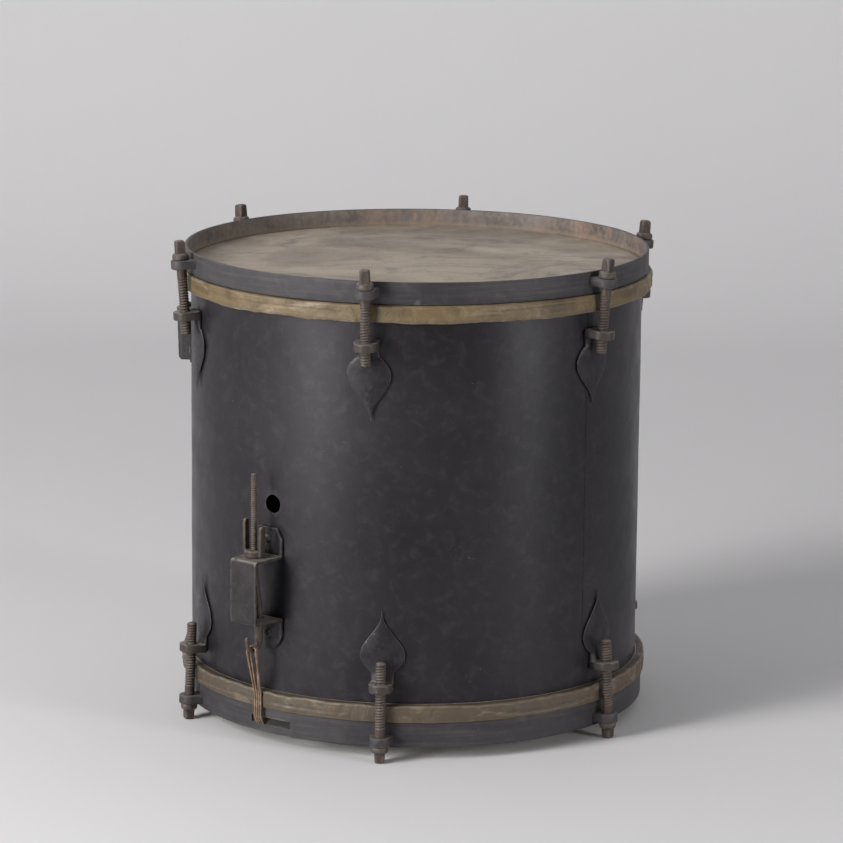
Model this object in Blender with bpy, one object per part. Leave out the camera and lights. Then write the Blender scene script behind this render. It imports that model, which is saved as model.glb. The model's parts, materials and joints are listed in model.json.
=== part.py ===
"""A sheet-iron military side drum with screw tension, standing on its lower screws.

The drum's axis is Z and the floor is z = 0. A turn is an angle in degrees round the
drum, from the front (-Y) towards +X. Each end of the drum is described by levels that
run outwards from the shell's bearing edge there, so both ends share their formulas.
"""

import math

import bmesh
import bpy
from mathutils import Matrix, Vector

# Fineness, and the clearance between faces that touch
FACETS = 48
ROUND = 12
GAP = 0.0003
CUT_MARGIN = 0.004

# Shell: a rolled iron sheet whose two edges are turned in over a wire
SHELL_RADIUS = 0.190
SHELL_WALL = 0.0015
SHELL_LENGTH = 0.3495
BEAD_DEPTH = 0.0030
BEAD_HEIGHT = 0.0055
AIR_HOLE_RADIUS = 0.0077
AIR_HOLE_TURN = -37.4
AIR_HOLE_LEVEL = 0.174

# Heads: skins lapped round a thin flesh hoop
SKIN = 0.001
FLESH_HOOP_WIDTH = 0.0050
FLESH_HOOP_HEIGHT = 0.0120
LAP_INSET = 0.0028
LAP_ROUND = 0.0014
LAP_SLIT = 0.0005

# Counterhoops, with an ear for each screw
TOP_HOOP_HEIGHT = 0.0183
BOTTOM_HOOP_HEIGHT = 0.0207
HOOP_WALL = 0.0025
HOOP_CLEARANCE = 0.0014
HOOP_EDGE_ROUND = 0.0005
EAR_RADIUS = 0.0085
EAR_HEIGHT = 0.0073
EAR_ROOT_HALF = 0.0098
TOP_EAR_REACH = 0.0100
BOTTOM_EAR_REACH = 0.0086
TOP_EAR_SETBACK = 0.0050
BOTTOM_EAR_SETBACK = 0.0033

# Slots in the bottom counterhoop that let the snare through
SLOT_LENGTH = 0.041
SLOT_HEIGHT = 0.0062
SLOT_LEVEL = 0.0064
FRONT_SLOT_OFFSET = 1.5

# Tension screws
SCREW_COUNT = 6
TOP_FIRST_TURN = -11.5
BOTTOM_FIRST_TURN = -7.5
THREAD_RADIUS = 0.0043
SHANK_RADIUS = 0.0041
SMOOTH_LENGTH = 0.0065
SCREW_HEAD_WIDTH = 0.0083
SCREW_HEAD_CHAMFER = 0.0010
TOP_HEAD_HEIGHT = 0.0105
BOTTOM_HEAD_HEIGHT = 0.0080
COLLAR_RADIUS = 0.0070
COLLAR_HEIGHT = 0.0055
EAR_HOLE_CLEARANCE = 0.0003
TOP_TIP_REACH = 0.0131
BOTTOM_TIP_REACH = 0.0181
TIP_ROUND = 0.0015

# Leaf-shaped lugs
EYE_RADIUS = 0.0098
EYE_HEIGHT = 0.0067
EYE_REACH = 0.0120
EYE_CLEARANCE = 0.0005
TOP_EYE_INSET = 0.0357
BOTTOM_EYE_INSET = 0.0333
LEAF_GAP = 0.0005
LEAF_LENGTH = 0.0620
LEAF_HALF_WIDTH = 0.0185
LEAF_WIDEST_AT = 0.0245
LEAF_NECK_AT = 0.0105
LEAF_NECK_HALF_WIDTH = 0.0092
LEAF_POINT_HALF_WIDTH = 0.0004
LEAF_EDGE = 0.0011
LEAF_CROWN = 0.0020
NECK_SWELL = 0.0040

# Rivets
RIVET_RADIUS = 0.0020
RIVET_HEAD_RADIUS = 0.0038
RIVET_HEAD_HEIGHT = 0.0017
RIVET_TAIL_RADIUS = 0.0032
RIVET_TAIL_HEIGHT = 0.0012

# Snare strainer: a strap bent into a box, a threaded hook and its nut
STRAINER_TURN = -38.5
STRAP = 0.0020
BRACKET_LEVEL = 0.0783
BRACKET_HEIGHT = 0.0538
BRACKET_DEPTH = 0.0330
BRACKET_FRONT_HALF_WIDTH = 0.0134
BRACKET_FLANGE_HALF_WIDTH = 0.0148
UPPER_FLANGE = 0.0225
UPPER_FLANGE_CHAMFER = 0.0085
UPPER_FLANGE_TOP_HALF_WIDTH = 0.0095
LOWER_FLANGE = 0.0255
BRACKET_BEND = 0.0020
UPPER_RIVET_RISE = 0.0127
LOWER_RIVET_DROP = 0.0125
ROD_RADIUS = 0.0026
ROD_STANDOFF = 0.0175
ROD_SHIFT = -0.0015
ROD_RISE = 0.0697
SHANK_TRAVEL_ROOM = 0.0040
HOOK_SHANK_RADIUS = 0.0034
HOOK_SHANK_SWAY = 0.0060
HOOK_SHOULDER = 0.0012
HOOK_DROP = 0.0245
HOOK_BEND_RADIUS = 0.0072
HOOK_TIP_RADIUS = 0.0014
HOOK_TIP_RISE = 0.0050
HOOK_TIP_FLARE = 0.0006
HOOK_WAIST_RADIUS = 0.0019
NUT_LENGTH = 0.0190
NUT_ARM_WIDTH = 0.0060
NUT_BASE = 0.0056
NUT_BASE_RADIUS = 0.0078
NUT_ARM_ROOT = 0.0044
NUT_ARM = 0.0030
NUT_TALL_ARM = 0.0310
NUT_SHORT_ARM = 0.0260
NUT_TURN = -38.0
NUT_BEVEL = 0.0006

# Fixed hook for the far end of the snare
BUTT_TURN = 141.5
BUTT_STRAP = 0.0025
BUTT_HALF_WIDTH = 0.0070
BUTT_LEVEL = 0.0500
BUTT_PLATE = 0.0380
BUTT_HOOK_DEPTH = 0.0130
BUTT_HOOK_RISE = 0.0110
BUTT_BEND = 0.0045
BUTT_RIVET_INSET = 0.0070
BUTT_RIVET_SPACING = 0.0170

# Loop for the carrying sling
CARRY_TURN = -101.5
CARRY_INSET = 0.0450
CARRY_HEIGHT = 0.0455
CARRY_HALF_WIDTH = 0.0140
CARRY_REACH = 0.0160
CARRY_TAPER = 0.0015
CARRY_END_ROUND = 0.0025
CARRY_STRAP = 0.0020
CARRY_CORNER = 0.0025
CARRY_FLANGE = 0.0120
CARRY_RIVET_INSET = 0.0090

# Gut snare: two loops side by side, hung on the hook and on the butt
GUT_RADIUS = 0.0009
GUT_GAP = 0.00035
GUT_PITCH = 0.0021
GUT_RESOLUTION = 1
GUT_SHIFT = -0.0046
GUT_HOOK_SPACING = 0.0028
GUT_SPREAD = 0.0013
GUT_ARCH = 0.0030
GUT_LIFT_OFF = 0.020
GUT_BUTT_DROP = 0.0040
GUT_TURN_OVER = 0.0016

# Finishes: colour, roughness, metallic
FINISHES = {
    "blackened_iron": ((0.060, 0.060, 0.066), 0.55, 0.6),
    "hoop_iron": ((0.085, 0.088, 0.095), 0.5, 0.6),
    "worn_iron": ((0.140, 0.125, 0.110), 0.6, 0.6),
    "skin": ((0.290, 0.255, 0.200), 0.7, 0.0),
    "wood": ((0.330, 0.240, 0.150), 0.7, 0.0),
    "gut": ((0.420, 0.300, 0.170), 0.5, 0.0),
}


class End:
    """One end of the drum, measured outwards from the shell's bearing edge."""

    def __init__(self, name, way, hoop_height, ear_reach, ear_setback, eye_inset,
                 first_turn, head_height, tip_reach):
        self.name = name
        self.way = way
        self.hoop_height = hoop_height
        self.head_height = head_height
        self.first_turn = first_turn
        self.hoop_start = GAP - LAP_INSET
        self.hoop_end = self.hoop_start + hoop_height
        self.ear_radius = HOOP_OUTER + ear_reach
        self.ear_out = self.hoop_end - ear_setback - EAR_HEIGHT / 2
        self.eye_radius = SHELL_RADIUS + EYE_REACH
        self.eye_out = -eye_inset
        across = self.ear_radius - self.eye_radius
        along = self.ear_out - self.eye_out
        self.lean = math.atan2(across, along)
        self.span = math.hypot(across, along)
        self.screw_length = self.span + EYE_HEIGHT / 2 + tip_reach
        self.edge = 0.0

    def level(self, out):
        return self.edge + self.way * out

    def tilt(self):
        """Rotation about X that points a screw's own +Z out of the drum."""
        return self.lean if self.way > 0 else math.pi - self.lean

    def turns(self):
        return [self.first_turn + 360 / SCREW_COUNT * k for k in range(SCREW_COUNT)]

    def foot_reach(self):
        """How far the screw's head reaches past the ear's centre, along the drum."""
        along = EAR_HEIGHT / 2 + GAP + COLLAR_HEIGHT + self.head_height
        corner = SCREW_HEAD_WIDTH / 2 - SCREW_HEAD_CHAMFER
        return along * math.cos(self.lean) + corner * math.sin(self.lean)


COLLAR_SKIN = SHELL_RADIUS + GAP + SKIN
HOOP_INNER = COLLAR_SKIN + HOOP_CLEARANCE
HOOP_OUTER = HOOP_INNER + HOOP_WALL
FLESH_INNER = COLLAR_SKIN + GAP
FLESH_OUTER = FLESH_INNER + FLESH_HOOP_WIDTH
BAND_RADIUS = FLESH_OUTER + GAP + SKIN

TOP = End("top", 1, TOP_HOOP_HEIGHT, TOP_EAR_REACH, TOP_EAR_SETBACK, TOP_EYE_INSET,
          TOP_FIRST_TURN, TOP_HEAD_HEIGHT, TOP_TIP_REACH)
BOTTOM = End("bottom", -1, BOTTOM_HOOP_HEIGHT, BOTTOM_EAR_REACH, BOTTOM_EAR_SETBACK,
             BOTTOM_EYE_INSET, BOTTOM_FIRST_TURN, BOTTOM_HEAD_HEIGHT, BOTTOM_TIP_REACH)
BOTTOM.edge = BOTTOM.ear_out + BOTTOM.foot_reach()
TOP.edge = BOTTOM.edge + SHELL_LENGTH
HOOP_EDGE_LEVEL = BOTTOM.level(BOTTOM.hoop_end)
FLANGE_CUT = (SHELL_RADIUS - CUT_MARGIN, SHELL_RADIUS + CUT_MARGIN)
ROD_AXIS = SHELL_RADIUS + ROD_STANDOFF


def clear_scene():
    for old in list(bpy.data.objects):
        bpy.data.objects.remove(old, do_unlink=True)


def finish(finish_name):
    colour, roughness, metallic = FINISHES[finish_name]
    material = bpy.data.materials.get(finish_name)
    if material is None:
        material = bpy.data.materials.new(finish_name)
        material.use_nodes = True
        shader = material.node_tree.nodes["Principled BSDF"]
        shader.inputs["Base Color"].default_value = (*colour, 1.0)
        shader.inputs["Roughness"].default_value = roughness
        shader.inputs["Metallic"].default_value = metallic
    return material


def polar(radius, angle, level=0.0):
    """A point at an angle in radians from -Y towards +X."""
    return Vector((radius * math.sin(angle), -radius * math.cos(angle), level))


def mesh_object(name, bm, finish_name, sharp=35):
    bmesh.ops.remove_doubles(bm, verts=bm.verts, dist=1e-7)
    bmesh.ops.recalc_face_normals(bm, faces=bm.faces)
    mesh = bpy.data.meshes.new(name)
    bm.to_mesh(mesh)
    bm.free()
    mesh.shade_smooth()
    mesh.set_sharp_from_angle(angle=math.radians(sharp))
    mesh.materials.append(finish(finish_name))
    obj = bpy.data.objects.new(name, mesh)
    bpy.context.collection.objects.link(obj)
    return obj


def boolean(target, operation, operand):
    """Join or cut the target with a hidden operand."""
    operand.hide_render = True
    operand.display_type = "WIRE"
    modifier = target.modifiers.new(operand.name, "BOOLEAN")
    modifier.operation = operation
    modifier.solver = "EXACT"
    modifier.object = operand


def bake(obj):
    """Apply the object's modifiers, so that its mesh can be shared."""
    graph = bpy.context.evaluated_depsgraph_get()
    baked = bpy.data.meshes.new_from_object(obj.evaluated_get(graph))
    obj.modifiers.clear()
    obj.data = baked
    return obj


def copy_round(first, name, turn):
    """A copy of a piece that shares its mesh, turned about the drum's axis."""
    copy = bpy.data.objects.new(name, first.data)
    copy.location = Matrix.Rotation(math.radians(turn), 4, "Z") @ first.location
    copy.rotation_euler = first.rotation_euler
    copy.rotation_euler.z += math.radians(turn)
    bpy.context.collection.objects.link(copy)
    return copy


def spun(name, profile, finish_name, closed=True):
    """Turn a profile of (radius, level) points about Z.

    A closed profile makes a ring. An open one starts and ends on the axis.
    """
    bm = bmesh.new()
    verts = [bm.verts.new((0.0, -radius, level)) for radius, level in profile]
    edges = [bm.edges.new(pair) for pair in zip(verts, verts[1:])]
    if closed:
        edges.append(bm.edges.new((verts[-1], verts[0])))
    bmesh.ops.spin(bm, geom=verts + edges, axis=(0, 0, 1), cent=(0, 0, 0),
                   angle=2 * math.pi, steps=FACETS, use_duplicate=False)
    bmesh.ops.remove_doubles(bm, verts=bm.verts, dist=1e-6)
    return mesh_object(name, bm, finish_name)


def loft(bm, rings, matrix=Matrix()):
    """Skin a row of rings, each a list of as many points, and cap both ends."""
    rows = [[bm.verts.new(matrix @ Vector(point)) for point in ring] for ring in rings]
    count = len(rows[0])
    for near, far in zip(rows, rows[1:]):
        for k in range(count):
            j = (k + 1) % count
            bm.faces.new((near[k], near[j], far[j], far[k]))
    bm.faces.new(reversed(rows[0]))
    bm.faces.new(rows[-1])


def directions(sides):
    """Angles round a small piece, half a step off so that 12 of them hold a square's corners."""
    return [2 * math.pi * (k + 0.5) / sides for k in range(sides)]


def disc(radius, level, sides=ROUND):
    return [(radius * math.cos(a), radius * math.sin(a), level) for a in directions(sides)]


def square(width, level, sides=ROUND):
    """A square's outline with as many points as a disc's, so that the two can be lofted."""
    points = []
    for a in directions(sides):
        reach = width / 2 / max(abs(math.cos(a)), abs(math.sin(a)))
        points.append((reach * math.cos(a), reach * math.sin(a), level))
    return points


def radial(turn, level):
    """Matrix whose +Z points out of the shell at this turn, from the drum's axis."""
    spot = Matrix.Translation((0, 0, level)) @ Matrix.Rotation(math.radians(turn), 4, "Z")
    return spot @ Matrix.Rotation(math.pi / 2, 4, "X")


def radial_cylinder(bm, turn, level, radius, start, end, sides=8):
    loft(bm, [disc(radius, start, sides), disc(radius, end, sides)], radial(turn, level))


def upright_cylinder(bm, turn, radius_from_axis, shift, radius, low, high):
    spot = Matrix.Rotation(math.radians(turn), 4, "Z")
    spot = spot @ Matrix.Translation((shift, -radius_from_axis, 0))
    loft(bm, [disc(radius, low), disc(radius, high)], spot)


def rivet(bm, turn, level, seat, sides=8):
    """A round-headed rivet through the shell, its head on a plate at the seat's radius."""
    inside = (SHELL_RADIUS - SHELL_WALL) * math.cos(math.pi / FACETS) - GAP
    head = seat + GAP
    rings = [
        disc(RIVET_TAIL_RADIUS * 0.8, inside - RIVET_TAIL_HEIGHT, sides),
        disc(RIVET_TAIL_RADIUS, inside, sides),
        disc(RIVET_RADIUS, inside, sides),
        disc(RIVET_RADIUS, head, sides),
        disc(RIVET_HEAD_RADIUS, head, sides),
        disc(RIVET_HEAD_RADIUS * 0.6, head + RIVET_HEAD_HEIGHT, sides),
    ]
    loft(bm, rings, radial(turn, level))


def tongue(radius, reach, root_half, inward, steps=8):
    """Outline of a ring's outer half that runs back to its root as a tongue."""
    points = [(root_half, inward * reach), (-root_half, inward * reach)]
    for k in range(steps + 1):
        a = math.pi + math.pi * k / steps
        points.append((radius * math.cos(a), inward * radius * math.sin(a)))
    return points


def prism(bm, outline, low, high, matrix):
    loft(bm, [[(x, y, low) for x, y in outline], [(x, y, high) for x, y in outline]], matrix)


def rounded_path(corners, steps=3):
    """Round the corners of a flat path of (across, level, half width, bend radius)."""
    path = []
    for k, (across, level, half, bend) in enumerate(corners):
        here = Vector((across, level))
        if not bend or k in (0, len(corners) - 1):
            path.append((here, half))
            continue
        back = (Vector(corners[k - 1][:2]) - here).normalized()
        ahead = (Vector(corners[k + 1][:2]) - here).normalized()
        for j in range(steps + 1):
            t = j / steps
            start = here + back * bend
            end = here + ahead * bend
            point = start * (1 - t) ** 2 + here * 2 * t * (1 - t) + end * t ** 2
            path.append((point, half))
    return path


def strap(bm, path, thickness):
    """A flat strap of a path of (point, half width), in a radial plane that faces -Y."""
    rings = []
    for k, (point, half) in enumerate(path):
        before = path[max(k - 1, 0)][0]
        after = path[min(k + 1, len(path) - 1)][0]
        back = (point - before).normalized() if k else (after - point).normalized()
        ahead = (after - point).normalized() if k < len(path) - 1 else back
        mean = (back + ahead).normalized()
        side = Vector((-mean.y, mean.x)) * thickness / 2 / max(mean.dot(ahead), 0.5)
        one, other = point + side, point - side
        rings.append([(half, -one.x, one.y), (-half, -one.x, one.y),
                      (-half, -other.x, other.y), (half, -other.x, other.y)])
    loft(bm, rings)


def tube(bm, stations, shift, sides=10):
    """A round bar through stations of (across, level, radius), in a radial plane."""
    rings = []
    for k, (across, level, radius) in enumerate(stations):
        before = Vector(stations[max(k - 1, 0)][:2])
        after = Vector(stations[min(k + 1, len(stations) - 1)][:2])
        along = (after - before).normalized()
        ring = []
        for j in range(sides):
            a = 2 * math.pi * j / sides
            swing = radius * math.sin(a)
            ring.append((shift + radius * math.cos(a),
                         -(across - along.y * swing), level + along.x * swing))
        rings.append(ring)
    loft(bm, rings)


def make_shell():
    """The tube with its turned-in edges, the air hole and the rivet holes."""
    low, high = BOTTOM.edge, TOP.edge
    inner = SHELL_RADIUS - SHELL_WALL
    bead = SHELL_RADIUS - BEAD_DEPTH - SHELL_WALL
    soft = SHELL_WALL * 0.6
    profile = [
        (SHELL_RADIUS - soft, high), (SHELL_RADIUS, high - soft),
        (SHELL_RADIUS, low + soft), (SHELL_RADIUS - soft, low),
        (bead, low), (bead, low + BEAD_HEIGHT - soft),
        (inner, low + BEAD_HEIGHT), (inner, high - BEAD_HEIGHT),
        (bead, high - BEAD_HEIGHT + soft), (bead, high),
    ]
    shell = spun("shell", profile, "blackened_iron")
    bm = bmesh.new()
    through = (inner - CUT_MARGIN, SHELL_RADIUS + CUT_MARGIN)
    radial_cylinder(bm, AIR_HOLE_TURN, BOTTOM.edge + AIR_HOLE_LEVEL, AIR_HOLE_RADIUS,
                    *through, sides=24)
    for turn, level in rivet_spots():
        radial_cylinder(bm, turn, level, RIVET_RADIUS + GAP, *through)
    boolean(shell, "DIFFERENCE", mesh_object("shell_holes", bm, "blackened_iron"))
    return shell


def strainer_rivet_spots():
    low = BOTTOM.edge + BRACKET_LEVEL
    return [(STRAINER_TURN, low + BRACKET_HEIGHT + UPPER_RIVET_RISE),
            (STRAINER_TURN, low - LOWER_RIVET_DROP)]


def butt_rivet_spots():
    high = BOTTOM.edge + BUTT_LEVEL + BUTT_PLATE - BUTT_RIVET_INSET
    return [(BUTT_TURN, high - k * BUTT_RIVET_SPACING) for k in range(2)]


def carry_flange_turn():
    """Turn from the loop's middle to the middle of a flange."""
    root = math.degrees(math.asin(CARRY_HALF_WIDTH / (SHELL_RADIUS + LEAF_GAP)))
    return root + math.degrees(CARRY_FLANGE * 0.55 / SHELL_RADIUS)


def carry_rivet_spots():
    high = TOP.edge - CARRY_INSET
    levels = [high - CARRY_RIVET_INSET, high - CARRY_HEIGHT + CARRY_RIVET_INSET]
    side = carry_flange_turn()
    return [(CARRY_TURN + way * side, level) for way in (-1, 1) for level in levels]


def rivet_spots():
    return strainer_rivet_spots() + butt_rivet_spots() + carry_rivet_spots()


def make_head(end, name):
    """A skin over the bearing edge, lapped round its flesh hoop."""
    face = GAP + SKIN
    far = -LAP_INSET - SKIN - GAP * 2 - FLESH_HOOP_HEIGHT
    back = far - SKIN
    lap = -LAP_INSET
    inside = SHELL_RADIUS + GAP
    slit = COLLAR_SKIN + LAP_SLIT
    soft = LAP_ROUND
    profile = [
        (0.0, face), (COLLAR_SKIN - soft, face), (COLLAR_SKIN, face - soft),
        (COLLAR_SKIN, far), (BAND_RADIUS - SKIN, far),
        (BAND_RADIUS - SKIN, lap - SKIN), (slit, lap - SKIN), (slit, lap),
        (BAND_RADIUS - soft, lap), (BAND_RADIUS, lap - soft),
        (BAND_RADIUS, back + soft), (BAND_RADIUS - soft, back), (inside, back),
        (inside, GAP), (0.0, GAP),
    ]
    return spun(name, [(r, end.level(out)) for r, out in profile], "skin", closed=False)


def make_flesh_hoop(end, name):
    outer = -LAP_INSET - SKIN - GAP
    inner = outer - FLESH_HOOP_HEIGHT
    profile = [(FLESH_INNER, outer), (FLESH_OUTER, outer), (FLESH_OUTER, inner),
               (FLESH_INNER, inner)]
    return spun(name, [(r, end.level(out)) for r, out in profile], "wood")


def screw_frame(end, turn):
    """The ear's centre, with +Z out of the drum along the screw."""
    spot = Matrix.Rotation(math.radians(turn), 4, "Z")
    spot = spot @ Matrix.Translation((0, -end.ear_radius, end.level(end.ear_out)))
    return spot @ Matrix.Rotation(end.tilt(), 4, "X")


def make_counterhoop(end, slots=()):
    """A flat ring with six ears brazed on, and slots for the snare."""
    soft = HOOP_EDGE_ROUND
    start, stop = end.hoop_start, end.hoop_end
    profile = [
        (HOOP_INNER, start), (HOOP_OUTER, start), (HOOP_OUTER, stop - soft),
        (HOOP_OUTER - soft, stop), (HOOP_INNER + soft, stop), (HOOP_INNER, stop - soft),
    ]
    name = end.name + "_counterhoop"
    hoop = spun(name, [(r, end.level(out)) for r, out in profile], "hoop_iron")
    ears = bmesh.new()
    holes = bmesh.new()
    reach = end.ear_radius - HOOP_OUTER + HOOP_WALL / 2
    outline = tongue(EAR_RADIUS, reach, EAR_ROOT_HALF, end.way)
    hole = THREAD_RADIUS + EAR_HOLE_CLEARANCE
    for turn in end.turns():
        frame = screw_frame(end, turn)
        prism(ears, outline, -EAR_HEIGHT / 2, EAR_HEIGHT / 2, frame)
        loft(holes, [disc(hole, -EAR_HEIGHT), disc(hole, EAR_HEIGHT)], frame)
    for turn in slots:
        angle = SLOT_LENGTH / 2 / HOOP_OUTER
        low = HOOP_EDGE_LEVEL + SLOT_LEVEL
        rings = []
        for k in range(-2, 3):
            a = math.radians(turn) + angle * k / 2
            near, far = HOOP_INNER - CUT_MARGIN, HOOP_OUTER + CUT_MARGIN
            rings.append([polar(near, a, low), polar(far, a, low),
                          polar(far, a, low + SLOT_HEIGHT), polar(near, a, low + SLOT_HEIGHT)])
        loft(holes, rings)
    boolean(hoop, "UNION", mesh_object(name + "_ears", ears, "hoop_iron"))
    boolean(hoop, "DIFFERENCE", mesh_object(name + "_openings", holes, "hoop_iron"))
    return hoop


def make_screws(end):
    """Six screws: square head, collar, smooth neck and thread, on the ear's centre."""
    seat = EAR_HEIGHT / 2 + GAP
    head = seat + COLLAR_HEIGHT
    top = head + end.head_height
    neck = -EAR_HEIGHT / 2 - SMOOTH_LENGTH
    tip = -end.screw_length
    step = THREAD_RADIUS - SHANK_RADIUS
    bm = bmesh.new()
    loft(bm, [
        disc(THREAD_RADIUS - TIP_ROUND, tip),
        disc(THREAD_RADIUS, tip + TIP_ROUND),
        disc(THREAD_RADIUS, neck - step),
        disc(SHANK_RADIUS, neck),
        disc(SHANK_RADIUS, seat),
        disc(COLLAR_RADIUS, seat),
        disc(COLLAR_RADIUS, head),
        square(SCREW_HEAD_WIDTH, head),
        square(SCREW_HEAD_WIDTH, top - SCREW_HEAD_CHAMFER),
        square(SCREW_HEAD_WIDTH - 2 * SCREW_HEAD_CHAMFER, top),
    ])
    first = mesh_object(end.name + "_screw_1", bm, "worn_iron")
    first.location = polar(end.ear_radius, 0.0, end.level(end.ear_out))
    first.rotation_euler = (end.tilt(), 0.0, 0.0)
    for k, turn in enumerate(end.turns()[1:], start=2):
        copy_round(first, f"{end.name}_screw_{k}", turn)
    first.location = polar(end.ear_radius, math.radians(end.first_turn),
                           end.level(end.ear_out))
    first.rotation_euler.z = math.radians(end.first_turn)


def leaf_half_width(distance):
    """Half the leaf's width at a distance from the eye: an ogee to a point."""
    if distance > LEAF_WIDEST_AT:
        share = (LEAF_LENGTH - distance) / (LEAF_LENGTH - LEAF_WIDEST_AT)
        swell = math.sin(math.pi / 2 * share) ** 1.8
        return LEAF_POINT_HALF_WIDTH + (LEAF_HALF_WIDTH - LEAF_POINT_HALF_WIDTH) * swell
    if distance > LEAF_NECK_AT:
        share = (LEAF_WIDEST_AT - distance) / (LEAF_WIDEST_AT - LEAF_NECK_AT)
        swell = math.cos(math.pi / 2 * share) ** 0.8
        return LEAF_NECK_HALF_WIDTH + (LEAF_HALF_WIDTH - LEAF_NECK_HALF_WIDTH) * swell
    return LEAF_NECK_HALF_WIDTH


def leaf_rings(end):
    """Rows across the leaf, from its point to the eye, bent to the shell."""
    inner = SHELL_RADIUS + LEAF_GAP
    below, above = 5, 4
    distances = [LEAF_LENGTH - (LEAF_LENGTH - LEAF_WIDEST_AT) * k / below
                 for k in range(below)]
    distances += [LEAF_WIDEST_AT - (LEAF_WIDEST_AT - LEAF_NECK_AT) * k / above
                  for k in range(above + 1)]
    distances += [EYE_HEIGHT / 4, -EYE_HEIGHT / 2 + SKIN]
    rings = []
    for distance in distances:
        half = leaf_half_width(distance)
        swell = max(0.0, 1 - distance / LEAF_WIDEST_AT) ** 2 if distance > 0 else 1.0
        crown = LEAF_CROWN + NECK_SWELL * swell
        edge = LEAF_EDGE + NECK_SWELL * 0.5 * swell
        if distance > LEAF_WIDEST_AT:
            crown = LEAF_EDGE + (LEAF_CROWN - LEAF_EDGE) * half / LEAF_HALF_WIDTH
        angle = half / inner
        level = -end.way * distance
        rings.append([polar(inner + edge, -angle, level), polar(inner + crown, 0, level),
                      polar(inner + edge, angle, level), polar(inner, angle, level),
                      polar(inner, 0, level), polar(inner, -angle, level)])
    return rings


def make_lugs(end):
    """Six lugs: a leaf on the shell whose neck turns out into a threaded eye."""
    bm = bmesh.new()
    loft(bm, leaf_rings(end))
    first = mesh_object(end.name + "_lug_1", bm, "worn_iron")
    frame = Matrix.Translation((0, -end.eye_radius, 0)) @ Matrix.Rotation(end.tilt(), 4, "X")
    block = bmesh.new()
    reach = EYE_REACH - LEAF_GAP - LEAF_EDGE / 2
    outline = tongue(EYE_RADIUS, reach, LEAF_NECK_HALF_WIDTH, end.way)
    prism(block, outline, -EYE_HEIGHT / 2, EYE_HEIGHT / 2, frame)
    boolean(first, "UNION", mesh_object(first.name + "_eye", block, "worn_iron"))
    hole = bmesh.new()
    radius = THREAD_RADIUS + EYE_CLEARANCE
    loft(hole, [disc(radius, -EYE_HEIGHT), disc(radius, EYE_HEIGHT)], frame)
    boolean(first, "DIFFERENCE", mesh_object(first.name + "_hole", hole, "worn_iron"))
    bake(first)
    first.location = (0, 0, end.level(end.eye_out))
    for k, turn in enumerate(end.turns()[1:], start=2):
        copy_round(first, f"{end.name}_lug_{k}", turn)
    first.rotation_euler.z = math.radians(end.first_turn)


def strainer_levels():
    low = BOTTOM.edge + BRACKET_LEVEL
    return low, low + BRACKET_HEIGHT


def make_strainer_bracket():
    """A strap bent into an open-sided box, its ends riveted flat on the shell."""
    low, high = strainer_levels()
    seat = SHELL_RADIUS + LEAF_GAP + STRAP / 2
    front = SHELL_RADIUS + BRACKET_DEPTH - STRAP / 2
    wide, slim, bend = BRACKET_FLANGE_HALF_WIDTH, BRACKET_FRONT_HALF_WIDTH, BRACKET_BEND
    top = high + UPPER_FLANGE
    corners = [(seat, top, UPPER_FLANGE_TOP_HALF_WIDTH, 0),
               (seat, top - UPPER_FLANGE_CHAMFER, wide, 0),
               (seat, high - STRAP / 2, wide, bend),
               (front, high - STRAP / 2, slim, bend),
               (front, low + STRAP / 2, slim, bend),
               (seat, low + STRAP / 2, wide, bend)]
    end_level = low - LOWER_FLANGE
    steps = 4
    for k in range(steps):
        a = math.pi / 2 * k / steps
        corners.append((seat, end_level + wide * (1 - math.sin(a)), wide * math.cos(a), 0))
    corners.append((seat, end_level, wide * 0.15, 0))
    bm = bmesh.new()
    strap(bm, rounded_path(corners), STRAP)
    bracket = mesh_object("strainer_bracket", bm, "worn_iron")
    bracket.rotation_euler.z = math.radians(STRAINER_TURN)
    holes = bmesh.new()
    for turn, level in strainer_rivet_spots():
        radial_cylinder(holes, turn, level, RIVET_RADIUS + GAP, *FLANGE_CUT)
    upright_cylinder(holes, STRAINER_TURN, ROD_AXIS, ROD_SHIFT, ROD_RADIUS + GAP,
                     high - 2 * STRAP, high + STRAP)
    upright_cylinder(holes, STRAINER_TURN, ROD_AXIS - HOOK_SHANK_SWAY, ROD_SHIFT,
                     HOOK_SHANK_RADIUS + 4 * GAP, low - STRAP, low + 2 * STRAP)
    cutter = mesh_object("strainer_bracket_holes", holes, "worn_iron")
    boolean(bracket, "DIFFERENCE", cutter)
    return bracket


def rod_spot(level):
    """The point of the threaded rod's axis at a level."""
    turn = Matrix.Rotation(math.radians(STRAINER_TURN), 4, "Z")
    return turn @ Vector((ROD_SHIFT, -ROD_AXIS, level))


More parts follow.
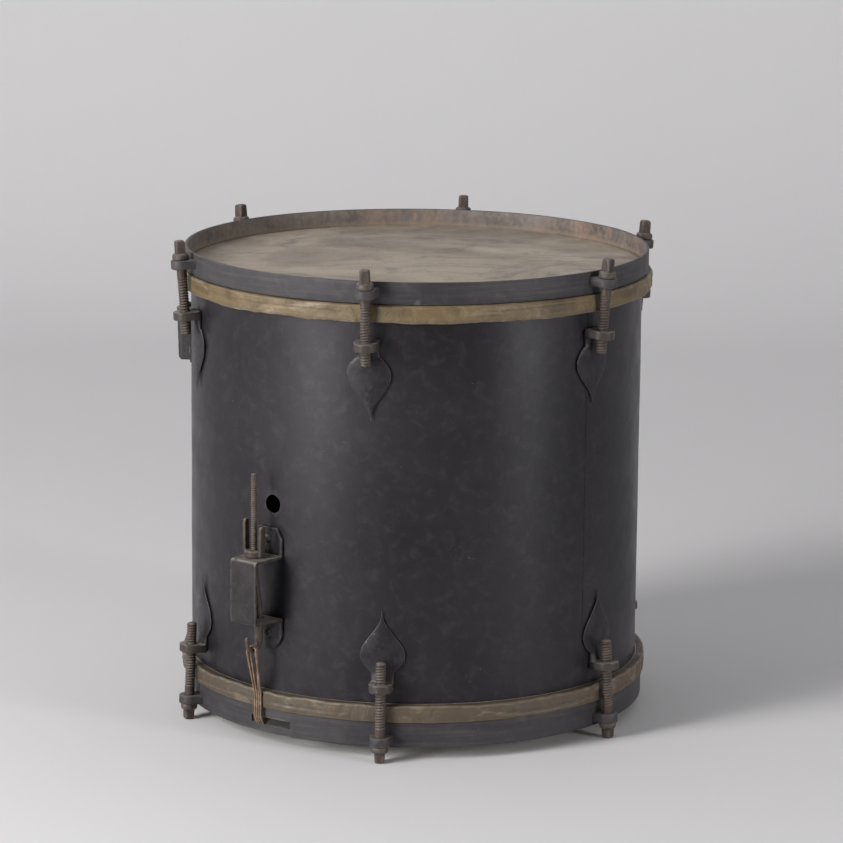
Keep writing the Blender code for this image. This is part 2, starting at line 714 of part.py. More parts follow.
def hook_stations():
    """The hook's bar from the rod's top to its point, as (across, level, radius)."""
    low, high = strainer_levels()
    shoulder = high - STRAP - SHANK_TRAVEL_ROOM
    stations = [(ROD_AXIS, high + ROD_RISE, ROD_RADIUS * 0.6),
                (ROD_AXIS, high + ROD_RISE - ROD_RADIUS * 0.5, ROD_RADIUS),
                (ROD_AXIS, shoulder + HOOK_SHOULDER, ROD_RADIUS),
                (ROD_AXIS, shoulder, HOOK_SHANK_RADIUS * 0.9),
                (ROD_AXIS, shoulder - HOOK_SHOULDER, HOOK_SHANK_RADIUS)]
    shank = ROD_AXIS - HOOK_SHANK_SWAY
    stations.append((shank, low + STRAP, HOOK_SHANK_RADIUS))
    bottom = low - HOOK_DROP
    centre = (shank + HOOK_BEND_RADIUS, bottom + HOOK_BEND_RADIUS)
    steps = 8
    for k in range(steps + 1):
        a = math.pi + math.pi * k / steps
        share = k / steps
        radius = HOOK_SHANK_RADIUS + (HOOK_WAIST_RADIUS - HOOK_SHANK_RADIUS) * min(1, 2 * share)
        if share > 0.5:
            radius += (HOOK_TIP_RADIUS - HOOK_WAIST_RADIUS) * (share - 0.5)
        stations.append((centre[0] + HOOK_BEND_RADIUS * math.cos(a),
                         centre[1] + HOOK_BEND_RADIUS * math.sin(a), radius))
    stations.append((centre[0] + HOOK_BEND_RADIUS + HOOK_TIP_FLARE,
                     centre[1] + HOOK_TIP_RISE, HOOK_TIP_RADIUS))
    return stations


def make_strainer_hook():
    """Threaded rod, shank and hook in one forging, about the rod's axis."""
    bm = bmesh.new()
    tube(bm, hook_stations(), ROD_SHIFT)
    bmesh.ops.translate(bm, verts=bm.verts, vec=(-ROD_SHIFT, ROD_AXIS, 0))
    hook = mesh_object("strainer_hook", bm, "worn_iron")
    hook.location = rod_spot(0.0)
    hook.rotation_euler.z = math.radians(STRAINER_TURN)


def make_wing_nut():
    """A round nut with two upright arms of unlike height, turned by the fingers."""
    _, high = strainer_levels()
    half = NUT_LENGTH / 2
    profile = [(-half, 0), (half, 0), (half, NUT_SHORT_ARM), (half - NUT_ARM, NUT_SHORT_ARM),
               (half - NUT_ARM, NUT_ARM_ROOT), (-half + NUT_ARM, NUT_ARM_ROOT),
               (-half + NUT_ARM, NUT_TALL_ARM), (-half, NUT_TALL_ARM)]
    bm = bmesh.new()
    side = NUT_ARM_WIDTH / 2
    loft(bm, [[(x, y, z) for x, z in profile] for y in (-side, side)])
    nut = mesh_object("wing_nut", bm, "worn_iron")
    base = bmesh.new()
    loft(base, [disc(NUT_BASE_RADIUS - NUT_BEVEL, 0, 24), disc(NUT_BASE_RADIUS, NUT_BEVEL, 24),
                disc(NUT_BASE_RADIUS, NUT_BASE - NUT_BEVEL, 24),
                disc(NUT_BASE_RADIUS - NUT_BEVEL, NUT_BASE, 24)])
    boss = mesh_object("wing_nut_base", base, "worn_iron")
    bevel = nut.modifiers.new("softened_edges", "BEVEL")
    bevel.width = NUT_BEVEL
    bevel.segments = 1
    hole = bmesh.new()
    loft(hole, [disc(ROD_RADIUS + GAP, -NUT_ARM), disc(ROD_RADIUS + GAP, NUT_BASE + NUT_ARM)])
    cutter = mesh_object("wing_nut_hole", hole, "worn_iron")
    boolean(nut, "UNION", boss)
    boolean(nut, "DIFFERENCE", cutter)
    for piece in (nut, boss, cutter):
        piece.location = rod_spot(high + GAP)
        piece.rotation_euler.z = math.radians(NUT_TURN)


def make_snare_butt():
    """A short strap riveted on the shell, its foot turned out and up into a hook."""
    low = BOTTOM.edge + BUTT_LEVEL
    seat = SHELL_RADIUS + LEAF_GAP + BUTT_STRAP / 2
    half = BUTT_HALF_WIDTH
    corners = [(seat, low + BUTT_PLATE, half * 0.6, 0),
               (seat, low + BUTT_PLATE - half * 0.4, half, 0),
               (seat, low, half, BUTT_BEND),
               (seat + BUTT_HOOK_DEPTH, low, half, BUTT_BEND),
               (seat + BUTT_HOOK_DEPTH, low + BUTT_HOOK_RISE, half * 0.7, 0)]
    bm = bmesh.new()
    strap(bm, rounded_path(corners), BUTT_STRAP)
    butt = mesh_object("snare_butt", bm, "worn_iron")
    butt.rotation_euler.z = math.radians(BUTT_TURN)
    holes = bmesh.new()
    for turn, level in butt_rivet_spots():
        radial_cylinder(holes, turn, level, RIVET_RADIUS + GAP, *FLANGE_CUT)
    boolean(butt, "DIFFERENCE", mesh_object("snare_butt_holes", holes, "worn_iron"))


def carry_section(reach, level):
    """The hat-shaped section of the loop at one level, flanges bent to the shell."""
    inner = SHELL_RADIUS + LEAF_GAP
    outer = inner + CARRY_STRAP
    far = SHELL_RADIUS + reach
    half, wall, corner = CARRY_HALF_WIDTH, CARRY_STRAP, CARRY_CORNER
    root = math.asin(half / outer)
    end = root + CARRY_FLANGE / inner
    inside = math.asin((half - wall) / inner)
    side = [polar(inner, end, level), polar(outer, end, level), polar(outer, root, level),
            Vector((half, -(far - corner), level)), Vector((half - corner, -far, level))]
    mirrored = [Vector((-point.x, point.y, point.z)) for point in reversed(side)]
    back = [polar(inner, -inside, level), Vector((-(half - wall), -(far - wall), level)),
            Vector((half - wall, -(far - wall), level)), polar(inner, inside, level)]
    return side + mirrored + back


def make_carry_bracket():
    """A belt loop for the sling's hook, open above and below and narrower at its foot."""
    high = TOP.edge - CARRY_INSET
    low = high - CARRY_HEIGHT
    bm = bmesh.new()
    loft(bm, [carry_section(CARRY_REACH, high),
              carry_section(CARRY_REACH - CARRY_TAPER, low + CARRY_END_ROUND),
              carry_section(CARRY_REACH - CARRY_TAPER - CARRY_END_ROUND * 0.8, low)])
    bracket = mesh_object("carry_bracket", bm, "worn_iron")
    bracket.rotation_euler.z = math.radians(CARRY_TURN)
    holes = bmesh.new()
    for turn, level in carry_rivet_spots():
        radial_cylinder(holes, turn, level, RIVET_RADIUS + GAP, *FLANGE_CUT)
    boolean(bracket, "DIFFERENCE", mesh_object("carry_bracket_holes", holes, "worn_iron"))


def make_rivets():
    for name, spots, thickness in (
            ("strainer_rivet", strainer_rivet_spots(), STRAP),
            ("snare_butt_rivet", butt_rivet_spots(), BUTT_STRAP),
            ("carry_bracket_rivet", carry_rivet_spots(), CARRY_STRAP)):
        for k, (turn, level) in enumerate(spots, start=1):
            bm = bmesh.new()
            rivet(bm, turn, level, SHELL_RADIUS + LEAF_GAP + thickness)
            mesh_object(f"{name}_{k}", bm, "worn_iron")


def gut_run():
    """A strand's route in a radial plane, from under the head to the top of the lap."""
    band = BAND_RADIUS + GUT_RADIUS + GUT_GAP
    slot = HOOP_EDGE_LEVEL + SLOT_LEVEL + GUT_RADIUS + GUT_GAP
    under = BOTTOM.level(GAP + SKIN) - GUT_RADIUS - GUT_GAP
    lap_low = BOTTOM.level(-LAP_INSET)
    lap_high = lap_low + FLESH_HOOP_HEIGHT
    mid = (under + slot) / 2
    return [(HOOP_INNER - GUT_LIFT_OFF, under), (HOOP_INNER - GUT_LIFT_OFF / 2, mid),
            (HOOP_INNER, slot),
            (HOOP_OUTER + GUT_RADIUS, slot), (band, (slot + lap_low) / 2),
            (band, lap_low), (band, lap_high)]


def gut_loop(rank):
    """Points of one closed loop: over the hook, under the head and over the butt."""
    half = GUT_PITCH * (0.5 + rank)
    low, _ = strainer_levels()
    shank = ROD_AXIS - HOOK_SHANK_SWAY
    saddle = low - HOOK_DROP + HOOK_WAIST_RADIUS + GUT_RADIUS + 2 * GUT_GAP
    hook_across = shank + HOOK_BEND_RADIUS + (rank - 0.5) * GUT_HOOK_SPACING
    wide = HOOK_WAIST_RADIUS + GUT_RADIUS + 2 * GUT_GAP + rank * GUT_SPREAD
    run = gut_run()
    band = run[-1][0]
    butt_low = BOTTOM.edge + BUTT_LEVEL

    def front(across, side, level):
        share = (level - run[-1][1]) / (saddle - run[-1][1])
        middle = GUT_SHIFT + (ROD_SHIFT - GUT_SHIFT) * max(0.0, min(1.0, share))
        spot = Matrix.Rotation(math.radians(STRAINER_TURN), 4, "Z")
        return spot @ Vector((middle + side, -across, level))

    def rear(across, side, level):
        share = (level - run[-1][1]) / (butt_low - run[-1][1])
        middle = GUT_SHIFT * (1.0 - max(0.0, min(1.0, share)))
        spot = Matrix.Rotation(math.radians(STRAINER_TURN), 4, "Z")
        return spot @ Vector((middle + side, across, level))

    left = [front(across, -half, level) for across, level in run]
    for t in (0.35, 0.7, 1.0):
        across = band + (hook_across - band) * t
        level = run[-1][1] + (saddle - 2 * GUT_ARCH - run[-1][1]) * t
        left.append(front(across, -half - (wide - half) * t, level))
    arch = []
    for k in range(1, 6):
        a = math.pi * k / 6
        arch.append(front(hook_across, -wide * math.cos(a),
                          saddle - GUT_ARCH + GUT_ARCH * math.sin(a)))
    right = [front(across, half, level) for across, level in run]
    for t in (0.35, 0.7, 1.0):
        across = band + (hook_across - band) * t
        level = run[-1][1] + (saddle - 2 * GUT_ARCH - run[-1][1]) * t
        right.append(front(across, half + (wide - half) * t, level))

    butt_across = SHELL_RADIUS + LEAF_GAP + BUTT_STRAP / 2 + BUTT_HOOK_DEPTH / 2
    butt_across += (rank - 0.5) * GUT_HOOK_SPACING
    butt_wide = BUTT_HALF_WIDTH + GUT_RADIUS + 2 * GUT_GAP + rank * GUT_SPREAD
    butt_saddle = butt_low + BUTT_STRAP / 2 + GUT_RADIUS + GUT_GAP
    far_left = [rear(across, -half, level) for across, level in run]
    far_right = [rear(across, half, level) for across, level in run]
    for t in (0.5, 1.0):
        across = band + (butt_across - band) * t
        level = run[-1][1] + (butt_low - GUT_BUTT_DROP - run[-1][1]) * t
        far_left.append(rear(across, -half - (butt_wide - half) * t, level))
        far_right.append(rear(across, half + (butt_wide - half) * t, level))
    over = []
    for way in (-1, 1):
        side = [rear(butt_across, way * (butt_wide - GUT_TURN_OVER * back),
                     butt_saddle - GUT_TURN_OVER * down)
                for back, down in ((0.0, 1.0), (0.25, 0.4), (0.8, 0.0))]
        over += side if way < 0 else side[::-1]
    return left + arch + right[::-1] + far_right + over[::-1] + far_left[::-1]


def make_gut_snare():
    """Two closed loops of gut, four strands under the snare head."""
    for rank in range(2):
        name = f"gut_snare_{rank + 1}"
        curve = bpy.data.curves.new(name, "CURVE")
        curve.dimensions = "3D"
        curve.bevel_depth = GUT_RADIUS
        curve.bevel_resolution = GUT_RESOLUTION
        curve.use_fill_caps = True
        points = gut_loop(rank)
        spline = curve.splines.new("POLY")
        spline.points.add(len(points) - 1)
        for point, spot in zip(spline.points, points):
            point.co = (*spot, 1.0)
        spline.use_cyclic_u = True
        curve.materials.append(finish("gut"))
        bpy.context.collection.objects.link(bpy.data.objects.new(name, curve))


def main():
    clear_scene()
    make_shell()
    make_head(TOP, "batter_head")
    make_head(BOTTOM, "snare_head")
    make_flesh_hoop(TOP, "batter_flesh_hoop")
    make_flesh_hoop(BOTTOM, "snare_flesh_hoop")
    make_counterhoop(TOP)
    make_counterhoop(BOTTOM, (STRAINER_TURN + FRONT_SLOT_OFFSET, BUTT_TURN))
    for end in (TOP, BOTTOM):
        make_screws(end)
        make_lugs(end)
    make_strainer_bracket()
    make_strainer_hook()
    make_wing_nut()
    make_snare_butt()
    make_carry_bracket()
    make_rivets()
    make_gut_snare()


main()
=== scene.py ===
"""The looks of the side drum: a finer shape for every piece that shows, and its finish.

All lengths are in metres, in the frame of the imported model. A turn is an angle in degrees
round the drum, from the front (-Y) towards +X.
"""

import json
import math

import bmesh
import bpy
from mathutils import Matrix, Vector, noise


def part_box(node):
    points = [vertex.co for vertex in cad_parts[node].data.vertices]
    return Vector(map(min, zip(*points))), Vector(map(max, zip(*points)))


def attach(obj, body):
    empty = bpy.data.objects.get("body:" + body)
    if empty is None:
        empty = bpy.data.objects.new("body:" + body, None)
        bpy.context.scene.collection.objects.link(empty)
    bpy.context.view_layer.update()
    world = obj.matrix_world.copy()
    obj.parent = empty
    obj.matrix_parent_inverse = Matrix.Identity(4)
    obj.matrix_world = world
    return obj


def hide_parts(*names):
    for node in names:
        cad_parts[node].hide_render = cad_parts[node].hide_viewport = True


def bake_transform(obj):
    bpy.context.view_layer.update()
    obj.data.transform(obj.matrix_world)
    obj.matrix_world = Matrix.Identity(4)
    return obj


# Sizes repeated from the part's source
SHELL_RADIUS = 0.190
SHELL_WALL = 0.0015
BEAD_DEPTH = 0.0030
BEAD_HEIGHT = 0.0055
AIR_HOLE_RADIUS = 0.0077
AIR_HOLE_TURN = -37.4
AIR_HOLE_LEVEL = 0.174
GAP = 0.0003
SKIN = 0.001
FLESH_HOOP_WIDTH = 0.0050
FLESH_HOOP_HEIGHT = 0.0120
LAP_INSET = 0.0028
HOOP_WALL = 0.0025
HOOP_CLEARANCE = 0.0014
EAR_RADIUS = 0.0085
EAR_HEIGHT = 0.0073
EAR_ROOT_HALF = 0.0098
SLOT_LENGTH = 0.041
SLOT_HEIGHT = 0.0062
SLOT_LEVEL = 0.0064
FRONT_SLOT_OFFSET = 1.5
THREAD_RADIUS = 0.0043
SMOOTH_LENGTH = 0.0065
SCREW_HEAD_WIDTH = 0.0083
COLLAR_RADIUS = 0.0070
COLLAR_HEIGHT = 0.0055
EYE_RADIUS = 0.0098
EYE_HEIGHT = 0.0067
EYE_REACH = 0.0120
LEAF_GAP = 0.0005
LEAF_LENGTH = 0.0620
LEAF_HALF_WIDTH = 0.0185
LEAF_WIDEST_AT = 0.0245
LEAF_NECK_AT = 0.0105
LEAF_NECK_HALF_WIDTH = 0.0092
LEAF_EDGE = 0.0011
LEAF_CROWN = 0.0020
NECK_SWELL = 0.0040
RIVET_HEAD_RADIUS = 0.0038
RIVET_HEAD_HEIGHT = 0.0017
STRAINER_TURN = -38.5
STRAP = 0.0020
BRACKET_LEVEL = 0.0783
BRACKET_HEIGHT = 0.0538
BRACKET_DEPTH = 0.0330
BRACKET_FRONT_HALF_WIDTH = 0.0134
BRACKET_FLANGE_HALF_WIDTH = 0.0148
UPPER_FLANGE = 0.0225
UPPER_FLANGE_CHAMFER = 0.0085
UPPER_FLANGE_TOP_HALF_WIDTH = 0.0095
LOWER_FLANGE = 0.0255
BRACKET_BEND = 0.0020
UPPER_RIVET_RISE = 0.0127
LOWER_RIVET_DROP = 0.0125
ROD_RADIUS = 0.0026
ROD_STANDOFF = 0.0175
ROD_SHIFT = -0.0015
ROD_RISE = 0.0697
SHANK_TRAVEL_ROOM = 0.0040
HOOK_SHANK_RADIUS = 0.0034
HOOK_SHANK_SWAY = 0.0060
HOOK_SHOULDER = 0.0012
HOOK_DROP = 0.0245
HOOK_BEND_RADIUS = 0.0072
HOOK_TIP_RADIUS = 0.0014
HOOK_TIP_RISE = 0.0050
HOOK_TIP_FLARE = 0.0006
HOOK_WAIST_RADIUS = 0.0019
NUT_LENGTH = 0.0190
NUT_ARM_WIDTH = 0.0060
NUT_BASE = 0.0056
NUT_BASE_RADIUS = 0.0078
NUT_ARM = 0.0030
NUT_TALL_ARM = 0.0310
NUT_SHORT_ARM = 0.0260
NUT_TURN = -38.0
BUTT_TURN = 141.5
BUTT_STRAP = 0.0025
BUTT_HALF_WIDTH = 0.0070
BUTT_LEVEL = 0.0500
BUTT_PLATE = 0.0380
BUTT_HOOK_DEPTH = 0.0130
BUTT_HOOK_RISE = 0.0110
BUTT_BEND = 0.0045
BUTT_RIVET_INSET = 0.0070
BUTT_RIVET_SPACING = 0.0170
CARRY_TURN = -101.5
CARRY_INSET = 0.0450
CARRY_HEIGHT = 0.0455
CARRY_HALF_WIDTH = 0.0140
CARRY_REACH = 0.0160
CARRY_TAPER = 0.0015
CARRY_END_ROUND = 0.0025
CARRY_STRAP = 0.0020
CARRY_CORNER = 0.0025
CARRY_FLANGE = 0.0120
CARRY_RIVET_INSET = 0.0090
GUT_RADIUS = 0.0009
GUT_GAP = 0.00035
GUT_PITCH = 0.0021
GUT_SHIFT = -0.0046
GUT_HOOK_SPACING = 0.0028
GUT_SPREAD = 0.0013
GUT_ARCH = 0.0030
GUT_LIFT_OFF = 0.020
GUT_BUTT_DROP = 0.0040
GUT_TURN_OVER = 0.0016

# Sizes that only the looks need. Way is 1 for the top end and -1 for the bottom one.
IRON_SHINE = 0.27
CUT_PAST = 0.004
THREAD_PITCH = 0.0023
THREAD_DEPTH = 0.00075
ROD_PITCH = 0.0015
ROD_THREAD_DEPTH = 0.0008
THREAD_START = 0.0014
THREAD_FADE_IN = 0.003
THREAD_FADE_OUT = 0.002
SEAM_TURN = 47.0
SEAM_STEP = 0.00035
SEAM_WIDTH = 5.5
HEAD_PLAIN = 0.166
PUCKER_RADIUS = 0.1875
PUCKER_WIDTH = 0.0035
FLAT_BEHIND_SCREW = 0.028
FLAT_PRESSED_IN = 0.0003
HOOP_EDGE = 0.0007
SLOT_CORNER = 0.0008
EAR_EDGE = 0.0009
LEAF_LIFT = 0.0005
LEAF_POINT = 0.0004
LEAF_TAPERS = {1: 2.1, -1: 2.4}
LEAF_EXTRAS = {"top_lug_2": -0.0027, "bottom_lug_2": 0.0018}
TIP_LIFTS = {"top": (0.0016, 0.0003, 0.0004, 0.0008, 0.0003, 0.0005),
             "bottom": (0.0004, 0.0003, 0.0006, 0.0003, 0.0005, 0.0004)}
TIP_SWAYS = {"top": (0.0028, 0.0012, -0.0010, 0.0016, -0.0014, 0.0008),
             "bottom": (-0.0010, 0.0010, 0.0014, -0.0008, 0.0012, 0.0006)}
LUG_VOXEL = 0.0005
NUT_VOXEL = 0.0004
NUT_EDGE = 0.0008
STRAP_EDGE = 0.0005
BUTT_EDGE = 0.0006
GUT_STRAIGHT = 0.03
GUT_STEP = 0.0011
GUT_SIDES = 10
PLY_LENGTH = 0.0042
STEPS_ROUND = 256
HEAD_STEPS = 600
COLUMNS = 24

# The photograph's camera: its image and focal length in pixels, its place, and its turns
# in degrees about its own axes
PHOTO_WIDTH = 843
PHOTO_FOCAL = 3877.1
CAMERA_PLACE = (0.0, -3.2256, 0.9143)
CAMERA_TURNS = ((77.685, "X"), (-0.09, "Y"), (0.524, "X"), (0.505, "Z"))
SENSOR = 36.0

# The paper sweep: its front, where it starts to rise, its curve's radius, its top, half its
# width, and how many points of its line the camera sees
SWEEP_FRONT = -4.0
SWEEP_START = 1.6
SWEEP_CURVE = 1.2
SWEEP_TOP = 5.0
SWEEP_HALF_WIDTH = 5.0
SWEEP_FOOT = 11

# Lights: name, place, size, power and colour
LIGHTS = (("key", (-2.3, -1.5, 1.5), (0.8, 1.6), 72, (1.0, 0.985, 0.97)),
          ("front_key", (-2.12, -1.92, 0.6), (0.85, 1.15), 50, (1, 1, 1)),
          ("fill", (2.5, -1.7, 0.6), (0.5, 1.15), 36, (1, 1, 1)))
LIGHTS_AIM = Vector((0, 0, 0.2))

COLLAR_SKIN = SHELL_RADIUS + GAP + SKIN
HOOP_INNER = COLLAR_SKIN + HOOP_CLEARANCE
HOOP_OUTER = HOOP_INNER + HOOP_WALL
BAND_RADIUS = COLLAR_SKIN + GAP + FLESH_HOOP_WIDTH + GAP + SKIN
SEAT = SHELL_RADIUS + LEAF_GAP
ROD_AXIS = SHELL_RADIUS + ROD_STANDOFF
SHANK_AXIS = ROD_AXIS - HOOK_SHANK_SWAY

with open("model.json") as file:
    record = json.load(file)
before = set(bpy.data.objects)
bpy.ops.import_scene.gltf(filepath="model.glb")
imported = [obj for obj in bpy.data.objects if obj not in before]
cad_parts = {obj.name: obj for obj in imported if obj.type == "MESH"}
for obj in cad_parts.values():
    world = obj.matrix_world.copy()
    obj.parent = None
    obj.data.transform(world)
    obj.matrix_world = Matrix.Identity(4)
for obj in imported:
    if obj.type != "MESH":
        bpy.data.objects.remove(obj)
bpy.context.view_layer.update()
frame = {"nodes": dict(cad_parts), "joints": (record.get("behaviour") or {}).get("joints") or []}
LOW, HIGH = (corner.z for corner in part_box("shell"))
BRACKET_LOW = LOW + BRACKET_LEVEL
BRACKET_HIGH = BRACKET_LOW + BRACKET_HEIGHT
BUTT_LOW = LOW + BUTT_LEVEL
CARRY_HIGH = HIGH - CARRY_INSET
JOINTS = {joint["name"]: joint for joint in frame["joints"]}


# ---- finishes ----


class Nodes:
    """A tree of shader nodes, built from one vector of coordinates."""

    def __init__(self, tree, space):
        self.tree = tree
        self.coords = self.node("TexCoord", space, {})

    def plug(self, socket, value):
        if isinstance(value, bpy.types.NodeSocket):
            self.tree.links.new(value, socket)
        elif isinstance(value, tuple) and socket.type == "RGBA":
            socket.default_value = (*value, 1.0)
        else:
            socket.default_value = value

    def node(self, kind, result, inputs, **settings):
        """Add a node, fill its inputs by name or number, and return one of its outputs."""
        node = self.tree.nodes.new("ShaderNode" + kind)
        for name, value in settings.items():
            setattr(node, name, value)
        for name, value in inputs.items():
            self.plug(node.inputs[name], value)
        return node.outputs[result]

    def axis(self, name, vector=None):
        return self.node("SeparateXYZ", name, {"Vector": vector or self.coords})

    def maths(self, operation, *terms):
        return self.node("Math", "Value", dict(enumerate(terms)), operation=operation)

    def between(self, value, low, high, to_low=0.0, to_high=1.0, kind="SMOOTHSTEP"):
        """A step from low to high, or down to it where low is the higher."""
        inputs = {"Value": value, "From Min": low, "From Max": high,
                  "To Min": to_low, "To Max": to_high}
        return self.node("MapRange", "Result", inputs, interpolation_type=kind)


class Finish(Nodes):
    """A material of coats of colour and layers of relief, each laid over those before it."""

    def __init__(self, name, colour):
        self.material = bpy.data.materials.new(name)
        self.material.use_nodes = True
        super().__init__(self.material.node_tree, "Object")
        self.colour = colour
        self.under = {}

    def stretched(self, scale):
        return self.node("Mapping", "Vector", {"Vector": self.coords, "Scale": scale})

    def noise(self, scale, detail=4.0, rough=0.55, twist=0.0, stretch=None):
        vector = self.stretched(stretch) if stretch else self.coords
        return self.node("TexNoise", "Fac", {"Vector": vector, "Scale": scale, "Detail": detail,
                                             "Roughness": rough, "Distortion": twist})

    def patches(self, grain, *ends):
        return self.between(self.noise(*grain), *ends)

    def product(self, one, two):
        return self.maths("MULTIPLY", one, two)

    def line(self, value, half):
        """A thin line where the value passes its middle."""
        return self.product(self.between(value, 0.5 - half, 0.5),
                            self.between(value, 0.5 + half, 0.5))

    def edges(self, low, high):
        """How far a point stands out, as on a worn edge."""
        return self.between(self.node("NewGeometry", "Pointiness", {}), low, high)

    def facing_up(self, low, high):
        """How far a surface faces up, where dust settles."""
        return self.between(self.axis("Z", self.node("NewGeometry", "Normal", {})), low, high)

    def coat(self, colour, share, *patterns):
        """Lay a colour over what is there: a share, or a pattern, times more patterns."""
        for pattern in patterns:
            share = self.product(pattern, share)
        self.colour = self.node("Mix", "Result", {"Factor": share, "A": self.colour, "B": colour},
                                data_type="RGBA")

    def relief(self, height, strength, distance):
        inputs = {"Height": height, "Strength": strength, "Distance": distance, **self.under}
        self.under = {"Normal": self.node("Bump", "Normal", inputs)}

    def done(self, roughness, metallic=0.0, specular=0.5):
        shader = self.tree.nodes["Principled BSDF"]
        for name, value in (("Base Color", self.colour), ("Roughness", roughness),
                            ("Metallic", metallic), ("Specular IOR Level", specular),
                            *self.under.items()):
            self.plug(shader.inputs[name], value)
        return self.material


def sheet_iron(name, dark, pale, dust, rust, rust_share, brushed, sheen):
    """Blackened sheet iron: cloudy, a little streaked, with stray flecks, dust and rust."""
    f = Finish(name, dark)
    f.coat(pale, 0.60, f.patches((7.0, 6.0, 0.6, 0.4), 0.36, 0.68))
    f.coat(pale, 0.25, f.patches((22.0, 4.0, 0.6, 0.3, (1, 1, 0.22)), 0.42, 0.72))
    f.coat(rust, 0.5, f.patches((13.0, 8.0, 0.68, 0.8), rust_share, rust_share + 0.16))
    f.coat(dust, 0.10, f.patches((95.0, 7.0, 0.7, 0.5), 0.46, 0.74))
    f.coat(dust, 0.22 * brushed, f.patches((14.0, 7.0, 0.7, 0.2, (1, 1, 22)), 0.46, 0.68))
    cells = f.node("TexVoronoi", "Distance", {"Vector": f.coords, "Scale": 170.0})
    f.coat(dust, f.patches((31.0, 2.0), 0.60, 0.66), f.between(cells, 0.085, 0.03))
    scratch = f.line(f.noise(70.0, 2.0, 0.3, 3.0, (0.35, 0.35, 1)), 0.003)
    f.coat(dust, 0.35, f.patches((19.0, 2.0), 0.60, 0.68), scratch)
    f.coat(dust, 0.55, f.facing_up(0.55, 0.95))
    f.coat(dust, 0.5, f.product(f.edges(0.515, 0.60), f.patches((190.0, 4.0), 0.35, 0.6)))
    f.relief(f.noise(620.0, 4.0, 0.6), 0.10, 0.0003)
    f.relief(f.noise(26.0, 5.0, 0.6), 0.22, 0.0014)
    return f.done(f.patches((38.0, 5.0, 0.6), 0.30, 0.75, *sheen), 0.1, IRON_SHINE)


def rusty_rim():
    """The hoop's inner face: brown-grey and dusty, rusted in patches, rubbed by the skin."""
    f = Finish("rusty_rim", (0.082, 0.069, 0.063))
    f.coat((0.185, 0.156, 0.139), f.patches((9.0, 7.0, 0.65, 0.7), 0.36, 0.64))
    f.coat((0.235, 0.155, 0.118), 0.70, f.patches((16.0, 8.0, 0.7, 1.0), 0.52, 0.66))
    runs = f.patches((60.0, 6.0, 0.65, 0.6, (1, 1, 0.35)), 0.46, 0.66)
    f.coat((0.062, 0.052, 0.048), 0.40, runs)
    f.coat((0.330, 0.270, 0.220), 0.30, f.patches((230.0, 5.0, 0.65), 0.40, 0.70))
    f.coat((0.300, 0.225, 0.150), 0.45, f.between(f.axis("Z"), HIGH + 0.0060, HIGH + 0.0022))
    f.coat((0.190, 0.168, 0.150), 0.5, f.facing_up(0.5, 0.9))
    f.relief(f.noise(500.0, 5.0, 0.65), 0.35, 0.0005)
    f.relief(runs, 0.25, 0.0008)
    return f.done(0.66)


def forged_iron(name, dark, brown, dust, dust_share, film_share, pits, settling, sheen,
                soiled=0.0):
    """Forged iron: cloudy and pitted, dusty above and at rubbed edges, soiled off the shell."""
    f = Finish(name, dark)
    f.coat(brown, f.patches((75.0, 5.0, 0.6, 0.5), 0.34, 0.68))
    off_axis = f.node("VectorMath", "Value", {0: f.stretched((1, 1, 0))}, operation="LENGTH")
    f.coat((0.058, 0.047, 0.041),
           f.between(off_axis, SHELL_RADIUS + 0.0035, SHELL_RADIUS + 0.0080, 0.0, soiled))
    f.coat(dust, dust_share, f.product(f.edges(0.51, 0.60), f.patches((240.0, 4.0), 0.3, 0.6)))
    f.coat(dust, film_share, f.patches((330.0, 5.0, 0.65), 0.48, 0.74))
    f.coat(dust, settling, f.product(f.facing_up(0.35, 0.9), f.patches((150.0, 3.0), 0.25, 0.5)))
    f.relief(f.noise(1000.0, 5.0, 0.65), pits, 0.0004)
    f.relief(f.noise(170.0, 4.0, 0.6), pits, 0.0010)
    return f.done(f.patches((300.0, 3.0), 0.3, 0.7, *sheen), 0.15, IRON_SHINE)


def calf_skin():
    """The playing face: soiled calf, clouded with dirt, rubbed paler in streaks, creased."""
    f = Finish("calf_skin", (0.255, 0.212, 0.168))
    f.coat((0.480, 0.405, 0.325), f.patches((6.0, 7.0, 0.62, 0.9), 0.36, 0.66))
    f.coat((0.150, 0.136, 0.118), 0.52, f.patches((14.0, 9.0, 0.74, 1.6), 0.50, 0.62))
    f.coat((0.440, 0.372, 0.288), 0.32,
           f.patches((10.0, 6.0, 0.65, 0.8, (0.40, 2.4, 1)), 0.50, 0.68))
    f.coat((0.500, 0.440, 0.350), 0.40,
           f.patches((21.0, 8.0, 0.75, 1.0, (0.6, 1.6, 1)), 0.56, 0.64))
    f.coat((0.110, 0.088, 0.068), 0.20, f.line(f.noise(26.0, 9.0, 0.75, 2.2), 0.015))
    pores = f.noise(700.0, 3.0, 0.6)
    f.coat((0.130, 0.110, 0.090), f.between(pores, 0.45, 0.75, 0.0, 0.28))
    f.relief(pores, 0.15, 0.0003)
    f.relief(f.noise(22.0, 6.0, 0.6, 0.6), 0.30, 0.0025)
    return f.done(f.patches((30.0, 4.0), 0.3, 0.7, 0.50, 0.72))


